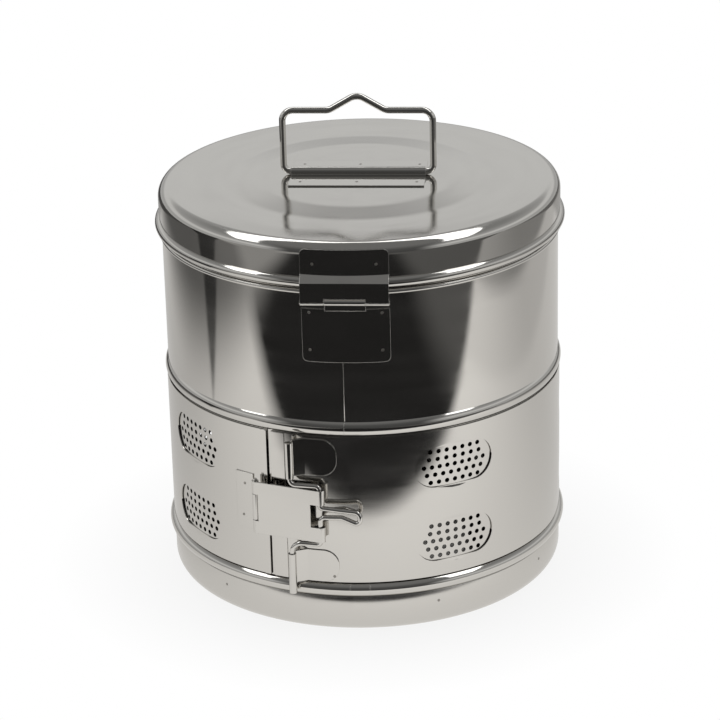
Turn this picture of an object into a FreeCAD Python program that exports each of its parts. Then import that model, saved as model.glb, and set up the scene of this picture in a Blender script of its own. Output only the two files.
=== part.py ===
"""Round sterilizing drum: perforated shell, turning band with a toggle clamp, hinged lid and wire handle.

Millimetres, +Z up. The origin is on the drum's axis, in the plane of the flat base. The lid hinge faces -Y,
and every angle round the drum is counted from the hinge towards +X.
"""
import FreeCAD, Part

import math
import os

import Sketcher
from FreeCAD import Placement, Rotation, Vector

# Driving sizes: name, value, meaning. Lengths in millimetres, angles in degrees.
SIZES = [
    ("shell_radius", 120.0, "outer radius of the rolled shell"),
    ("shell_sheet", 0.6, "sheet thickness of the shell"),
    ("shell_foot", 11.0, "height of the shell's lower edge inside the base pan"),
    ("low_bead_height", 28.9, "height of the lower guide bead's crest"),
    ("low_bead_half", 4.3, "half the height of the lower guide bead"),
    ("low_bead_rise", 3.5, "how far the lower guide bead stands out"),
    ("mid_bead_height", 132.3, "height of the middle guide bead's crest"),
    ("mid_bead_half", 4.4, "half the height of the middle guide bead"),
    ("mid_bead_rise", 1.8, "how far the middle guide bead stands out"),
    ("stop_bead_height", 217.2, "height of the bead that the lid rests on"),
    ("stop_bead_half", 1.5, "half the height of the stop bead"),
    ("stop_bead_rise", 1.3, "how far the stop bead stands out"),
    ("neck_inset", 0.8, "how far the neck steps in under the lid"),
    ("neck_height", 11.8, "height of the neck's rim over the stop bead's crest"),
    ("neck_step", 1.2, "height over which the shell steps in to the neck"),
    ("first_window", 30.4, "angle of the first column of windows"),
    ("window_pitch", 69.1, "angle from one column of windows to the next"),
    ("window_columns", 5, "number of window columns"),
    ("lower_window_inset", 22.4, "height of the lower windows' centres over the band's lower edge"),
    ("upper_window_inset", 23.3, "how far the upper windows' centres lie under the band's upper edge"),
    ("window_length", 51.5, "length of a window"),
    ("window_width", 25.5, "height of a window"),
    ("hole_size", 2.9, "width of one steam hole"),
    ("hole_row_pitch", 4.9, "height from one row of holes to the next"),
    ("base_sheet", 0.7, "sheet thickness of the base pan"),
    ("base_corner", 9.2, "outer radius of the base pan's corner"),
    ("base_rim_gap", 0.4, "gap between the base pan's rim and the lower guide bead"),
    ("base_foot_width", 19.5, "width of the flat ring that the drum stands on"),
    ("base_ring_width", 28.0, "width of the ring pressed up in the floor"),
    ("base_ring_slope", 5.0, "width of each slope of the pressed ring"),
    ("base_ring_rise", 1.5, "height of the pressed ring"),
    ("lid_play", 0.8, "radial play between the lid's skirt and the shell"),
    ("lid_sheet", 0.6, "sheet thickness of the lid"),
    ("lid_depth", 23.2, "height of the lid's flat over its rim bead's crest"),
    ("lid_corner", 7.0, "outer radius of the lid's shoulder"),
    ("lid_bead_lift", 6.2, "height of the lid's rim bead over the stop bead"),
    ("lid_bead_half", 3.1, "half the height of the rim bead"),
    ("lid_bead_rise", 2.6, "how far the rim bead stands out"),
    ("disc_radius", 58.6, "radius of the lid's raised disc"),
    ("ring_radius", 79.3, "outer radius of the slope round the disc"),
    ("disc_rise", 1.3, "height of the raised disc"),
    ("handle_wire", 4.0, "diameter of the handle's wire"),
    ("handle_clearance", 0.08, "play of the handle's wire in its bracket"),
    ("handle_half_width", 45.2, "half the width of the handle, to the wire's middle"),
    ("handle_foot_end", 26.0, "where the turned-in feet end, from the middle"),
    ("handle_height", 38.2, "height of the straight bar above the pivot"),
    ("handle_hump_half", 17.0, "half the width of the hump in the bar"),
    ("handle_hump_rise", 9.9, "height of the hump's sharp corner"),
    ("handle_foot_bend", 4.4, "bend radius at the feet"),
    ("handle_corner_bend", 6.5, "bend radius at the upper corners"),
    ("handle_hump_bend", 8.0, "bend radius in the hump"),
    ("bracket_sheet", 0.8, "sheet thickness of the handle bracket"),
    ("bracket_half_length", 40.7, "half the length of the handle bracket"),
    ("bracket_half_width", 23.5, "half the width of the handle bracket"),
    ("hinge_sheet", 0.8, "sheet thickness of both hinge leaves"),
    ("hinge_half_width", 25.5, "half the width of the hinge"),
    ("hinge_knuckle_half", 11.8, "half the length of the middle knuckle"),
    ("hinge_knuckle_gap", 0.25, "end play between two knuckles"),
    ("hinge_axis_inset", 1.35, "how far the hinge pin's axis lies behind the lid leaf's web"),
    ("hinge_axis_drop", 4.7, "how far the hinge pin lies under the stop bead"),
    ("hinge_pin_size", 2.5, "diameter of the hinge pin"),
    ("hinge_pin_end", 0.4, "how far the hinge pin stands out at each end"),
    ("hinge_clearance", 0.05, "radial play of the hinge pin"),
    ("lid_leaf_drop", 3.0, "how far the lid leaf's upper edge lies under the lid's flat"),
    ("lid_leaf_bend_lift", 4.8, "height over the rim bead where the lid leaf bends outwards"),
    ("lid_leaf_web_lift", 1.0, "height over the rim bead where the lid leaf turns down"),
    ("lid_leaf_gap", 0.15, "gap between the lid leaf's web and the rim bead"),
    ("body_leaf_drop", 5.5, "how far the body leaf's upper edge lies under the hinge pin"),
    ("body_leaf_length", 32.7, "height of the body leaf"),
    ("leaf_corner", 3.2, "corner radius of the hinge leaves"),
    ("band_play", 0.4, "radial play between the turning band and the shell"),
    ("band_sheet", 0.6, "sheet thickness of the band"),
    ("band_lift", 0.6, "gap between the band's edges and the guide beads"),
    ("band_edge", -22.7, "angle of the band's right-hand end"),
    ("band_gap", 1.3, "angle of the gap between the band's ends"),
    ("hem_sheet", 0.5, "thickness of the folded hems"),
    ("left_hem", 1.8, "angle covered by the left hem"),
    ("right_hem", 4.2, "angle covered by the right hem"),
    ("clamp_drop", 1.45, "how far the clamp's middle lies under the band's middle"),
    ("lever_wire", 3.0, "diameter of the toggle lever's wire"),
    ("lever_clearance", 0.06, "play of the lever's wire in its tubes"),
    ("pivot_rise", 5.8, "height of the lever's pivot over the band's outer face"),
    ("pivot_angle", -16.1, "angle of the lever's pivot"),
    ("lever_arm", 17.8, "distance from the lever's pivot to its crank"),
    ("pin_arm", 23.65, "distance from the lever's pivot to the clamp's pin"),
    ("pin_drop", 8.2, "angle between the pivot's tangent and the line to the clamp's pin"),
    ("crank_drop", 6.2, "angle between the pivot's tangent and the line to the crank"),
    ("crank_travel", 1.6, "how far the crank slides back in the plate's hems from its farthest place"),
    ("crank_over", 0.3, "room in the hems beyond the crank's farthest place"),
    ("clamp_sheet", 0.8, "sheet thickness of the clamp's pieces"),
    ("plate_half_height", 16.6, "half the height of the clamp plate"),
    ("tongue_half_height", 8.2, "half the height of the leaf's tongue"),
    ("tongue_gap", 0.3, "play between the tongue and the plate round it"),
    ("notch_half_height", 7.2, "half the height of the notch in the plate"),
    ("notch_depth", 5.2, "how far the notch reaches past the crank"),
    ("clamp_pin_size", 2.4, "diameter of the clamp's hinge pin"),
    ("clamp_pin_end", 1.2, "how far the clamp's hinge pin stands out at each end"),
    ("clamp_pin_clearance", 0.05, "radial play of the clamp's hinge pin"),
    ("clamp_leaf_left", -7.9, "angle of the clamp leaf's left edge from the pin"),
    ("clamp_leaf_right", -1.9, "angle of the clamp leaf's right edge from the pin"),
    ("clamp_leaf_half_height", 18.0, "half the height of the clamp leaf"),
    ("flag_end", 12.6, "angle of the lever leaf's round end from the pivot"),
    ("flag_start", 3.2, "angle where the lever leaf bends up to its tube"),
    ("flag_corner", 9.6, "corner radius of the lever leaves"),
    ("upper_flag_drop", 13.0, "how far the upper lever leaf's middle lies under the band's upper edge"),
    ("upper_flag_half", 11.5, "half the height of the upper lever leaf"),
    ("lower_flag_lift", 10.5, "height of the lower lever leaf's middle over the band's lower edge"),
    ("lower_flag_half", 10.2, "half the height of the lower lever leaf"),
    ("upper_tube_drop", 2.9, "how far the upper tube's upper end lies under the band's upper edge"),
    ("upper_tube_length", 22.8, "length of the upper tube"),
    ("lower_tube_drop", 6.4, "how far the lower tube's lower end lies under the band's lower edge"),
    ("lower_tube_length", 25.6, "length of the lower tube"),
    ("upper_arm_gap", 3.8, "how far the lever's upper arm lies under the upper tube"),
    ("lower_arm_gap", 7.2, "how far the lever's lower arm lies over the lower tube"),
    ("grip_waist", 31.0, "distance of the grip's waist from the pivot"),
    ("grip_end", 42.0, "distance of the grip's end from the pivot"),
    ("grip_root_top", 4.9, "height of the grip's upper wire at the crank, over the clamp's middle"),
    ("grip_waist_top", 4.2, "height of the grip's upper wire at the waist, over the clamp's middle"),
    ("grip_end_top", 3.9, "height of the grip's upper corner over the clamp's middle"),
    ("grip_end_foot", -4.2, "height of the grip's lower corner over the clamp's middle"),
    ("grip_waist_foot", -0.2, "height of the grip's lower wire at the waist, over the clamp's middle"),
    ("grip_root_foot", -1.2, "height of the grip's lower wire at the crank, over the clamp's middle"),
]

# The rows of steam holes in one window, from the top: how many holes, and their pitch.
HOLE_ROWS = [(7, 5.2), (7, 5.5), (9, 4.9), (8, 5.1), (7, 5.2)]

PARTS_FOLDER = "parts"

doc = FreeCAD.newDocument("sterilizing_drum")
sheet = doc.addObject("Spreadsheet::Sheet", "Sizes")
for row, (alias, value, meaning) in enumerate(SIZES, start=1):
    sheet.set("A%d" % row, meaning)
    sheet.set("B%d" % row, str(value))
    sheet.setAlias("B%d" % row, alias)
doc.recompute()


class Size:
    """A number together with the formula that gives it from the cells of the sheet."""

    def __init__(self, number, formula):
        self.number = float(number)
        self.formula = formula

    @staticmethod
    def of(value):
        if isinstance(value, Size):
            return value
        return Size(value, "(%r)" % float(value))

    def __add__(self, other):
        other = Size.of(other)
        return Size(self.number + other.number, "(%s + %s)" % (self.formula, other.formula))

    def __sub__(self, other):
        other = Size.of(other)
        return Size(self.number - other.number, "(%s - %s)" % (self.formula, other.formula))

    def __mul__(self, other):
        other = Size.of(other)
        return Size(self.number * other.number, "(%s * %s)" % (self.formula, other.formula))

    def __truediv__(self, other):
        other = Size.of(other)
        return Size(self.number / other.number, "(%s / %s)" % (self.formula, other.formula))

    def __rsub__(self, other):
        return Size.of(other) - self

    __radd__ = __add__
    __rmul__ = __mul__

    def __neg__(self):
        return Size(-self.number, "(0 - %s)" % self.formula)

    def root(self):
        return Size(math.sqrt(self.number), "sqrt(%s)" % self.formula)

    def sine(self):
        return Size(math.sin(math.radians(self.number)), "sin(%s)" % self.formula)

    def cosine(self):
        return Size(math.cos(math.radians(self.number)), "cos(%s)" % self.formula)


def cell(alias):
    return Size(sheet.get(alias), "Sizes.%s" % alias)


def bind(target, name, size):
    """Sets a property or a constraint from a size, and keeps it tied to the sheet."""
    target.setExpression(name, Size.of(size).formula)


def new_body(name):
    body = doc.addObject("PartDesign::Body", name)
    body.Label = name
    return body


def place(body, east, north, height, turn):
    """Puts a body's own frame at a point of the drum, turned about the vertical."""
    body.Placement = Placement(
        Vector(Size.of(east).number, Size.of(north).number, Size.of(height).number),
        Rotation(Vector(0, 0, 1), Size.of(turn).number))
    bind(body, "Placement.Base.x", east)
    bind(body, "Placement.Base.y", north)
    bind(body, "Placement.Base.z", height)
    bind(body, "Placement.Rotation.Angle", turn)


def new_sketch(body, name, plane, turn=None, lift=None, forward=None):
    """A sketch on one of the body's planes, lifted off it, or turned about the upright axis and moved out."""
    sketch = body.newObject("Sketcher::SketchObject", name)
    support = [item for item in body.Origin.OriginFeatures if item.Role == plane][0]
    sketch.AttachmentSupport = [(support, "")]
    sketch.MapMode = "FlatFace"
    if turn is not None:
        turn = Size.of(turn)
        sketch.AttachmentOffset = Placement(Vector(), Rotation(Vector(0, 1, 0), turn.number))
        bind(sketch, "AttachmentOffset.Rotation.Angle", turn)
    if forward is not None:
        forward = Size.of(forward)
        east = forward * turn.sine()
        south = forward * turn.cosine()
        sketch.AttachmentOffset = Placement(
            Vector(east.number, 0, south.number), Rotation(Vector(0, 1, 0), turn.number))
        bind(sketch, "AttachmentOffset.Base.x", east)
        bind(sketch, "AttachmentOffset.Base.z", south)
    if lift is not None:
        lift = Size.of(lift)
        sketch.AttachmentOffset = Placement(Vector(0, 0, lift.number), Rotation())
        bind(sketch, "AttachmentOffset.Base.z", lift)
    return sketch


START, END, MIDDLE = 1, 2, 3
ORIGIN = (-1, 1)


def fix_point(sketch, geometry, position, across, up):
    """Ties a point of a sketch to two distances from the sketch's origin."""
    for kind, size in (("DistanceX", across), ("DistanceY", up)):
        size = Size.of(size)
        index = sketch.addConstraint(Sketcher.Constraint(kind, *ORIGIN, geometry, position, size.number))
        if "Sizes" in size.formula:
            bind(sketch, "Constraints[%d]" % index, size)


def fix_radius(sketch, geometry, radius):
    radius = Size.of(radius)
    index = sketch.addConstraint(Sketcher.Constraint("Radius", geometry, radius.number))
    bind(sketch, "Constraints[%d]" % index, radius)


def arc_between(start, finish, radius, left):
    """The short arc from one point to another; its centre is on the left or right of the way between them."""
    chord = finish - start
    middle = (start + finish) * 0.5
    reach = math.sqrt(max(radius ** 2 - (chord.Length / 2) ** 2, 0.0))
    normal = Vector(-chord.y, chord.x, 0).normalize()
    centre = middle + normal * (reach if left else -reach)
    angle_a = math.atan2(start.y - centre.y, start.x - centre.x)
    angle_b = math.atan2(finish.y - centre.y, finish.x - centre.x)
    circle = Part.Circle(centre, Vector(0, 0, 1), radius)
    if left:
        return Part.ArcOfCircle(circle, angle_a, angle_b), START, END
    return Part.ArcOfCircle(circle, angle_b, angle_a), END, START


def arc_over(start, crest, finish):
    """The arc from one point to another by way of a third."""
    centre = Part.Arc(start, crest, finish).toShape().Curve.Center
    angles = [math.atan2(point.y - centre.y, point.x - centre.x) for point in (start, crest, finish)]
    full = 2 * math.pi
    curve = Part.Circle(centre, Vector(0, 0, 1), (start - centre).Length)
    if (angles[1] - angles[0]) % full < (angles[2] - angles[0]) % full:
        return Part.ArcOfCircle(curve, angles[0], angles[2]), START, END
    return Part.ArcOfCircle(curve, angles[2], angles[0]), END, START


def outline(sketch, corners):
    """Draws a closed loop of corners (across, up).

    Where an arc leads on, its radius follows, and then either the side of its centre (True for left) or the
    point that it passes over.
    """
    points = [Vector(Size.of(c[0]).number, Size.of(c[1]).number, 0) for c in corners]
    ends = []
    for index, corner in enumerate(corners):
        start = points[index]
        finish = points[(index + 1) % len(points)]
        if len(corner) == 4 and isinstance(corner[3], bool):
            curve, first, last = arc_between(start, finish, Size.of(corner[2]).number, corner[3])
        elif len(corner) == 4:
            crest = Vector(corner[3][0].number, corner[3][1].number, 0)
            curve, first, last = arc_over(start, crest, finish)
        else:
            curve, first, last = Part.LineSegment(start, finish), START, END
        geometry = sketch.addGeometry(curve, False)
        ends.append((geometry, first, last))
    for index, corner in enumerate(corners):
        geometry, first, last = ends[index]
        following, following_first, _ = ends[(index + 1) % len(ends)]
        sketch.addConstraint(Sketcher.Constraint("Coincident", geometry, last, following, following_first))
        fix_point(sketch, geometry, first, corner[0], corner[1])
        if len(corner) == 4:
            fix_radius(sketch, geometry, corner[2])


def circle(sketch, across, up, radius):
    across, up, radius = Size.of(across), Size.of(up), Size.of(radius)
    geometry = sketch.addGeometry(
        Part.Circle(Vector(across.number, up.number, 0), Vector(0, 0, 1), radius.number), False)
    fix_point(sketch, geometry, MIDDLE, across, up)
    fix_radius(sketch, geometry, radius)


def rectangle(sketch, left, low, right, high):
    outline(sketch, [(left, low), (right, low), (right, high), (left, high)])


def slot(sketch, left, right, up, radius):
    """A loop with two straight sides and two half-round ends."""
    left, right, up, radius = Size.of(left), Size.of(right), Size.of(up), Size.of(radius)
    centre_right = Vector(right.number, up.number, 0)
    centre_left = Vector(left.number, up.number, 0)
    rise = Vector(0, radius.number, 0)
    axis = Vector(0, 0, 1)
    quarter = math.pi / 2
    low = sketch.addGeometry(Part.LineSegment(centre_left - rise, centre_right - rise), False)
    turn = sketch.addGeometry(
        Part.ArcOfCircle(Part.Circle(centre_right, axis, radius.number), -quarter, quarter), False)
    high = sketch.addGeometry(Part.LineSegment(centre_right + rise, centre_left + rise), False)
    back = sketch.addGeometry(
        Part.ArcOfCircle(Part.Circle(centre_left, axis, radius.number), quarter, 3 * quarter), False)
    chain = [low, turn, high, back]
    for first, second in zip(chain, chain[1:] + chain[:1]):
        sketch.addConstraint(Sketcher.Constraint("Tangent", first, END, second, START))
    fix_point(sketch, turn, MIDDLE, right, up)
    fix_point(sketch, back, MIDDLE, left, up)
    fix_radius(sketch, turn, radius)


def bent_path(sketch, corners):
    """Draws an open run of straight lines with a round bend at each inner corner (across, up, radius)."""
    points = [Vector(Size.of(c[0]).number, Size.of(c[1]).number, 0) for c in corners]
    starts = [points[0]]
    arcs = []
    for before, corner, after, size in zip(points, points[1:], points[2:], corners[1:]):
        radius = Size.of(size[2]).number
        incoming = (corner - before).normalize()
        outgoing = (after - corner).normalize()
        turn = incoming.getAngle(outgoing)
        trim = radius * math.tan(turn / 2)
        left = incoming.cross(outgoing).z > 0
        first = corner - incoming * trim
        last = corner + outgoing * trim
        arcs.append(arc_between(first, last, radius, left))
        starts += [first, last]
    starts.append(points[-1])
    lines = []
    for index in range(len(points) - 1):
        segment = Part.LineSegment(starts[2 * index], starts[2 * index + 1])
        lines.append(sketch.addGeometry(segment, False))
    for index, (curve, first, last) in enumerate(arcs):
        geometry = sketch.addGeometry(curve, False)
        sketch.addConstraint(Sketcher.Constraint("Tangent", lines[index], END, geometry, first))
        sketch.addConstraint(Sketcher.Constraint("Tangent", geometry, last, lines[index + 1], START))
        fix_radius(sketch, geometry, corners[index + 1][2])
    for index, corner in enumerate(corners[1:-1]):
        mark = sketch.addGeometry(Part.Point(points[index + 1]), True)
        fix_point(sketch, mark, START, corner[0], corner[1])
        sketch.addConstraint(Sketcher.Constraint("PointOnObject", mark, START, lines[index]))
        sketch.addConstraint(Sketcher.Constraint("PointOnObject", mark, START, lines[index + 1]))
    fix_point(sketch, lines[0], START, corners[0][0], corners[0][1])
    fix_point(sketch, lines[-1], END, corners[-1][0], corners[-1][1])


def feature(body, kind, name, sketch):
    made = body.newObject("PartDesign::" + kind, name)
    made.Profile = sketch
    return made


def turned(body, name, sketch, sweep=360.0):
    """Turns a profile about the sketch's upright axis."""
    made = feature(body, "Revolution", name, sketch)
    made.ReferenceAxis = (sketch, ["V_Axis"])
    made.Angle = Size.of(sweep).number
    if isinstance(sweep, Size):
        bind(made, "Angle", sweep)
    return made


def padded(body, name, sketch, length, symmetric=False):
    made = feature(body, "Pad", name, sketch)
    made.Length = Size.of(length).number
    bind(made, "Length", length)
    if symmetric:
        made.SideType = "Symmetric"
    return made


def pocketed(body, name, sketch, length, symmetric=False, outwards=False):
    """Cuts a pocket and checks that it takes something away."""
    doc.recompute()
    before = body.Shape.Volume
    made = feature(body, "Pocket", name, sketch)
    made.Length = Size.of(length).number
    bind(made, "Length", length)
    made.Reversed = outwards
    if symmetric:
        made.SideType = "Symmetric"
    doc.recompute()
    if body.Shape.Volume >= before:
        raise RuntimeError("pocket %s cuts nothing" % name)
    return made


def rounded_edges(body, name, radius, wanted):
    """Rounds the edges whose middle point passes a test."""
    doc.recompute()
    base = body.Tip
    names = []
    for index, edge in enumerate(base.Shape.Edges, start=1):
        if wanted(edge):
            names.append("Edge%d" % index)
    fillet = body.newObject("PartDesign::Fillet", name)
    fillet.Base = (base, names)
    fillet.Radius = Size.of(radius).number
    bind(fillet, "Radius", radius)
    return fillet


def bead(radius, sheet_size, height, half, rise):
    """The upper and lower ends of a rolled bead on the outside and inside of a sheet, with both radii."""
    outer = (half * half + rise * rise) / (rise * 2.0)
    centre = radius + rise - outer
    inner = outer - sheet_size
    inside_offset = radius - sheet_size - centre
    inner_half = (inner * inner - inside_offset * inside_offset).root()
    return {"outer": outer, "inner": inner, "high": height + half, "low": height - half,
            "inner_high": height + inner_half, "inner_low": height - inner_half,
            "crest": (radius + rise, height), "inner_crest": (radius + rise - sheet_size, height)}


# Shell: one rolled sheet with two guide beads, a stop bead, a stepped-in neck and the steam holes.
shell_radius = cell("shell_radius")
shell_sheet = cell("shell_sheet")
shell_inner = shell_radius - shell_sheet
low_bead = bead(shell_radius, shell_sheet, cell("low_bead_height"), cell("low_bead_half"),
                cell("low_bead_rise"))
mid_bead = bead(shell_radius, shell_sheet, cell("mid_bead_height"), cell("mid_bead_half"),
                cell("mid_bead_rise"))
stop_height = cell("stop_bead_height")
stop_bead = bead(shell_radius, shell_sheet, stop_height, cell("stop_bead_half"), cell("stop_bead_rise"))
neck_radius = shell_radius - cell("neck_inset")
neck_start = stop_bead["high"] + cell("neck_step")
neck_top = stop_height + cell("neck_height")
band_low = low_bead["high"] + cell("band_lift")
band_high = mid_bead["low"] - cell("band_lift")
lower_window = band_low + cell("lower_window_inset")
upper_window = band_high - cell("upper_window_inset")


def shell_profile():
    outside = [(shell_radius, cell("shell_foot"))]
    for item in (low_bead, mid_bead, stop_bead):
        outside.append((shell_radius, item["low"], item["outer"], item["crest"]))
        outside.append((shell_radius, item["high"]))
    outside.append((neck_radius, neck_start))
    outside.append((neck_radius, neck_top))
    inside = [(neck_radius - shell_sheet, neck_top), (neck_radius - shell_sheet, neck_start)]
    inside.append((shell_inner, stop_bead["high"]))
    for item in (stop_bead, mid_bead, low_bead):
        inside.append((shell_inner, item["inner_high"], item["inner"], item["inner_crest"]))
        inside.append((shell_inner, item["inner_low"]))
    inside.append((shell_inner, cell("shell_foot")))
    return outside + inside


def steam_holes(sketch, height):
    """One window's rows of holes, set out along the round of the shell."""
    radius = sheet.get("hole_size") / 2
    first_row = (len(HOLE_ROWS) - 1) / 2
    for row_index, (count, pitch) in enumerate(HOLE_ROWS):
        up = height + (first_row - row_index) * sheet.get("hole_row_pitch")
        for hole_index in range(count):
            along = (hole_index - (count - 1) / 2) * pitch
            across = shell_radius.number * math.sin(along / shell_radius.number)
            sketch.addGeometry(Part.Circle(Vector(across, up, 0), Vector(0, 0, 1), radius), False)


def columns(body, name, original):
    """Repeats a cut at every column of windows."""
    pattern = body.newObject("PartDesign::PolarPattern", name)
    pattern.Originals = [original]
    axis = [item for item in body.Origin.OriginFeatures if item.Role == "Z_Axis"][0]
    pattern.Axis = (axis, [""])
    pattern.Mode = "Spacing"
    pattern.Offset = sheet.get("window_pitch")
    bind(pattern, "Offset", cell("window_pitch"))
    pattern.Occurrences = int(sheet.get("window_columns"))
    bind(pattern, "Occurrences", cell("window_columns"))
    body.Tip = pattern


drum_shell = new_body("drum_shell")
shell_sketch = new_sketch(drum_shell, "ShellProfile", "XZ_Plane")
outline(shell_sketch, shell_profile())
turned(drum_shell, "RolledShell", shell_sketch)

# The cuts for holes and windows start inside the shell and end outside it, in parts of its radius.
CUT_START = 0.93
CUT_DEPTH = 0.09
cut_start = shell_radius * CUT_START
cut_depth = shell_radius * CUT_DEPTH
hole_sketch = new_sketch(drum_shell, "SteamHoles", "XZ_Plane", turn=cell("first_window"), forward=cut_start)
for window_height in (lower_window, upper_window):
    steam_holes(hole_sketch, window_height.number)
hole_cut = pocketed(drum_shell, "HoleColumn", hole_sketch, cut_depth, outwards=True)
columns(drum_shell, "HoleColumns", hole_cut)

# Base pan: a shallow pressed cup that closes the shell and carries it on a flat outer ring.
base_pan = new_body("base_pan")
base_sheet = cell("base_sheet")
base_radius = shell_radius + base_sheet
base_corner = cell("base_corner")
base_inner_corner = base_corner - base_sheet
base_rim = low_bead["low"] - cell("base_rim_gap")
ring_outer = base_radius - base_corner - cell("base_foot_width")
ring_inner = ring_outer - cell("base_ring_width")
ring_slope = cell("base_ring_slope")
ring_rise = cell("base_ring_rise")
floor_line = [
    (0, 0),
    (ring_inner, 0),
    (ring_inner + ring_slope, ring_rise),
    (ring_outer - ring_slope, ring_rise),
    (ring_outer, 0),
]
floor_inside = [(across, up + base_sheet) for across, up in reversed(floor_line)]
base_sketch = new_sketch(base_pan, "PanProfile", "XZ_Plane")
outline(base_sketch, floor_line + [
    (base_radius - base_corner, 0, base_corner, True),
    (base_radius, base_corner),
    (base_radius, base_rim),
    (shell_radius, base_rim),
    (shell_radius, base_corner, base_inner_corner, False),
    (base_radius - base_corner, base_sheet),
] + floor_inside)
turned(base_pan, "PressedPan", base_sketch)

# Lid: a pressed cap with a raised disc in the middle, a round shoulder and a beaded rim.
lid = new_body("lid")
lid_sheet = cell("lid_sheet")
lid_radius = shell_radius + cell("lid_play") + lid_sheet
lid_bead_height = stop_height + cell("lid_bead_lift")
lid_bead_rise = cell("lid_bead_rise")
lid_top = lid_bead_height + cell("lid_depth")
lid_corner = cell("lid_corner")
lid_inner_corner = lid_corner - lid_sheet
disc_top = lid_top + cell("disc_rise")
rim_bead = bead(lid_radius, lid_sheet, lid_bead_height, cell("lid_bead_half"), lid_bead_rise)
lid_sketch = new_sketch(lid, "LidProfile", "XZ_Plane")
outline(lid_sketch, [
    (0, disc_top),
    (0, disc_top - lid_sheet),
    (cell("disc_radius"), disc_top - lid_sheet),
    (cell("ring_radius"), lid_top - lid_sheet),
    (lid_radius - lid_corner, lid_top - lid_sheet, lid_inner_corner, False),
    (lid_radius - lid_sheet, lid_top - lid_corner),
    (lid_radius - lid_sheet, rim_bead["inner_high"], rim_bead["inner"], rim_bead["inner_crest"]),
    (lid_radius - lid_sheet, rim_bead["inner_low"]),
    (lid_radius - lid_sheet, rim_bead["low"]),
    (lid_radius, rim_bead["low"], rim_bead["outer"], rim_bead["crest"]),
    (lid_radius, rim_bead["high"]),
    (lid_radius, lid_top - lid_corner, lid_corner, True),
    (lid_radius - lid_corner, lid_top),
    (cell("ring_radius"), lid_top),
    (cell("disc_radius"), disc_top),
])
turned(lid, "PressedLid", lid_sketch)

# Handle bracket: a strip with a half-round channel over the handle's feet and a flat flange on each side.
handle_bracket = new_body("handle_bracket")
wire_radius = cell("handle_wire") / 2.0
channel_inner = wire_radius + cell("handle_clearance")
bracket_sheet = cell("bracket_sheet")
channel_outer = channel_inner + bracket_sheet
bracket_half = cell("bracket_half_width")
handle_axis = disc_top + channel_inner
bracket_sketch = new_sketch(handle_bracket, "BracketProfile", "YZ_Plane")
outline(bracket_sketch, [
    (-bracket_half, disc_top),
    (-channel_inner, disc_top),
    (-channel_inner, handle_axis, channel_inner, False),
    (0, handle_axis + channel_inner, channel_inner, False),
    (channel_inner, handle_axis),
    (channel_inner, disc_top),
    (bracket_half, disc_top),
    (bracket_half, disc_top + bracket_sheet),
    (channel_outer, disc_top + bracket_sheet),
    (channel_outer, handle_axis, channel_outer, True),
    (0, handle_axis + channel_outer, channel_outer, True),
    (-channel_outer, handle_axis),
    (-channel_outer, disc_top + bracket_sheet),
    (-bracket_half, disc_top + bracket_sheet),
])
padded(handle_bracket, "BracketStrip", bracket_sketch, cell("bracket_half_length") * 2.0, symmetric=True)

# Lid handle: one bent wire with a hump in its bar and two feet turned inwards into the bracket.
lid_handle = new_body("lid_handle")
place(lid_handle, 0, 0, handle_axis, 0)
half_width = cell("handle_half_width")
foot_end = cell("handle_foot_end")
bar_height = cell("handle_height")
hump_half = cell("handle_hump_half")
hump_bend = cell("handle_hump_bend")
foot_bend = cell("handle_foot_bend")
corner_bend = cell("handle_corner_bend")
handle_path = new_sketch(lid_handle, "HandlePath", "XZ_Plane")
bent_path(handle_path, [
    (-foot_end, 0),
    (-half_width, 0, foot_bend),
    (-half_width, bar_height, corner_bend),
    (-hump_half, bar_height, hump_bend),
    (0, bar_height + cell("handle_hump_rise"), hump_bend),
    (hump_half, bar_height, hump_bend),
    (half_width, bar_height, corner_bend),
    (half_width, 0, foot_bend),
    (foot_end, 0),
])
handle_section = new_sketch(lid_handle, "HandleSection", "YZ_Plane", lift=-foot_end)
circle(handle_section, 0, 0, wire_radius)


def piped(body, name, section, path):
    """Sweeps a round section along a bent path and checks it against the path's length."""
    made = feature(body, "AdditivePipe", name, section)
    made.Spine = path
    made.Mode = "Frenet"
    doc.recompute()
    area = math.pi * section.Shape.Edges[0].Curve.Radius ** 2
    expected = area * path.Shape.Length
    print("%s: swept volume %.1f, section times length %.1f" % (body.Label, made.Shape.Volume, expected))
    if abs(made.Shape.Volume - expected) > 0.01 * expected:
        raise RuntimeError("the sweep of %s is not true to its path" % body.Label)
    return made


piped(lid_handle, "HandleWire", handle_section, handle_path)

# Lid hinge: two leaves welded to the lid and the shell, with three knuckles on one pin.
hinge_sheet = cell("hinge_sheet")
hinge_half = cell("hinge_half_width")
web_inner = lid_radius + lid_bead_rise + cell("lid_leaf_gap")
web_outer = web_inner + hinge_sheet
web_top = lid_bead_height + cell("lid_leaf_web_lift")
lid_leaf_bend = lid_bead_height + cell("lid_leaf_bend_lift")
lid_leaf_top = lid_top - cell("lid_leaf_drop")
hinge_axis = web_inner - cell("hinge_axis_inset")
hinge_height = stop_height - cell("hinge_axis_drop")
body_leaf_top = hinge_height - cell("body_leaf_drop")
body_leaf_bottom = body_leaf_top - cell("body_leaf_length")
hinge_bore = cell("hinge_pin_size") / 2.0 + cell("hinge_clearance")
hinge_barrel = hinge_bore + hinge_sheet
middle_half = cell("hinge_knuckle_half")
leaf_corner = cell("leaf_corner")
RIGHT_ANGLE = 90.0


def leaf_spread(radius):
    """Half the angle that the hinge's half width covers on a round of the given radius."""
    return Size(math.degrees(math.asin(hinge_half.number / radius.number)),
                "(asin(%s / %s) / 1deg)" % (hinge_half.formula, radius.formula))


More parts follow.
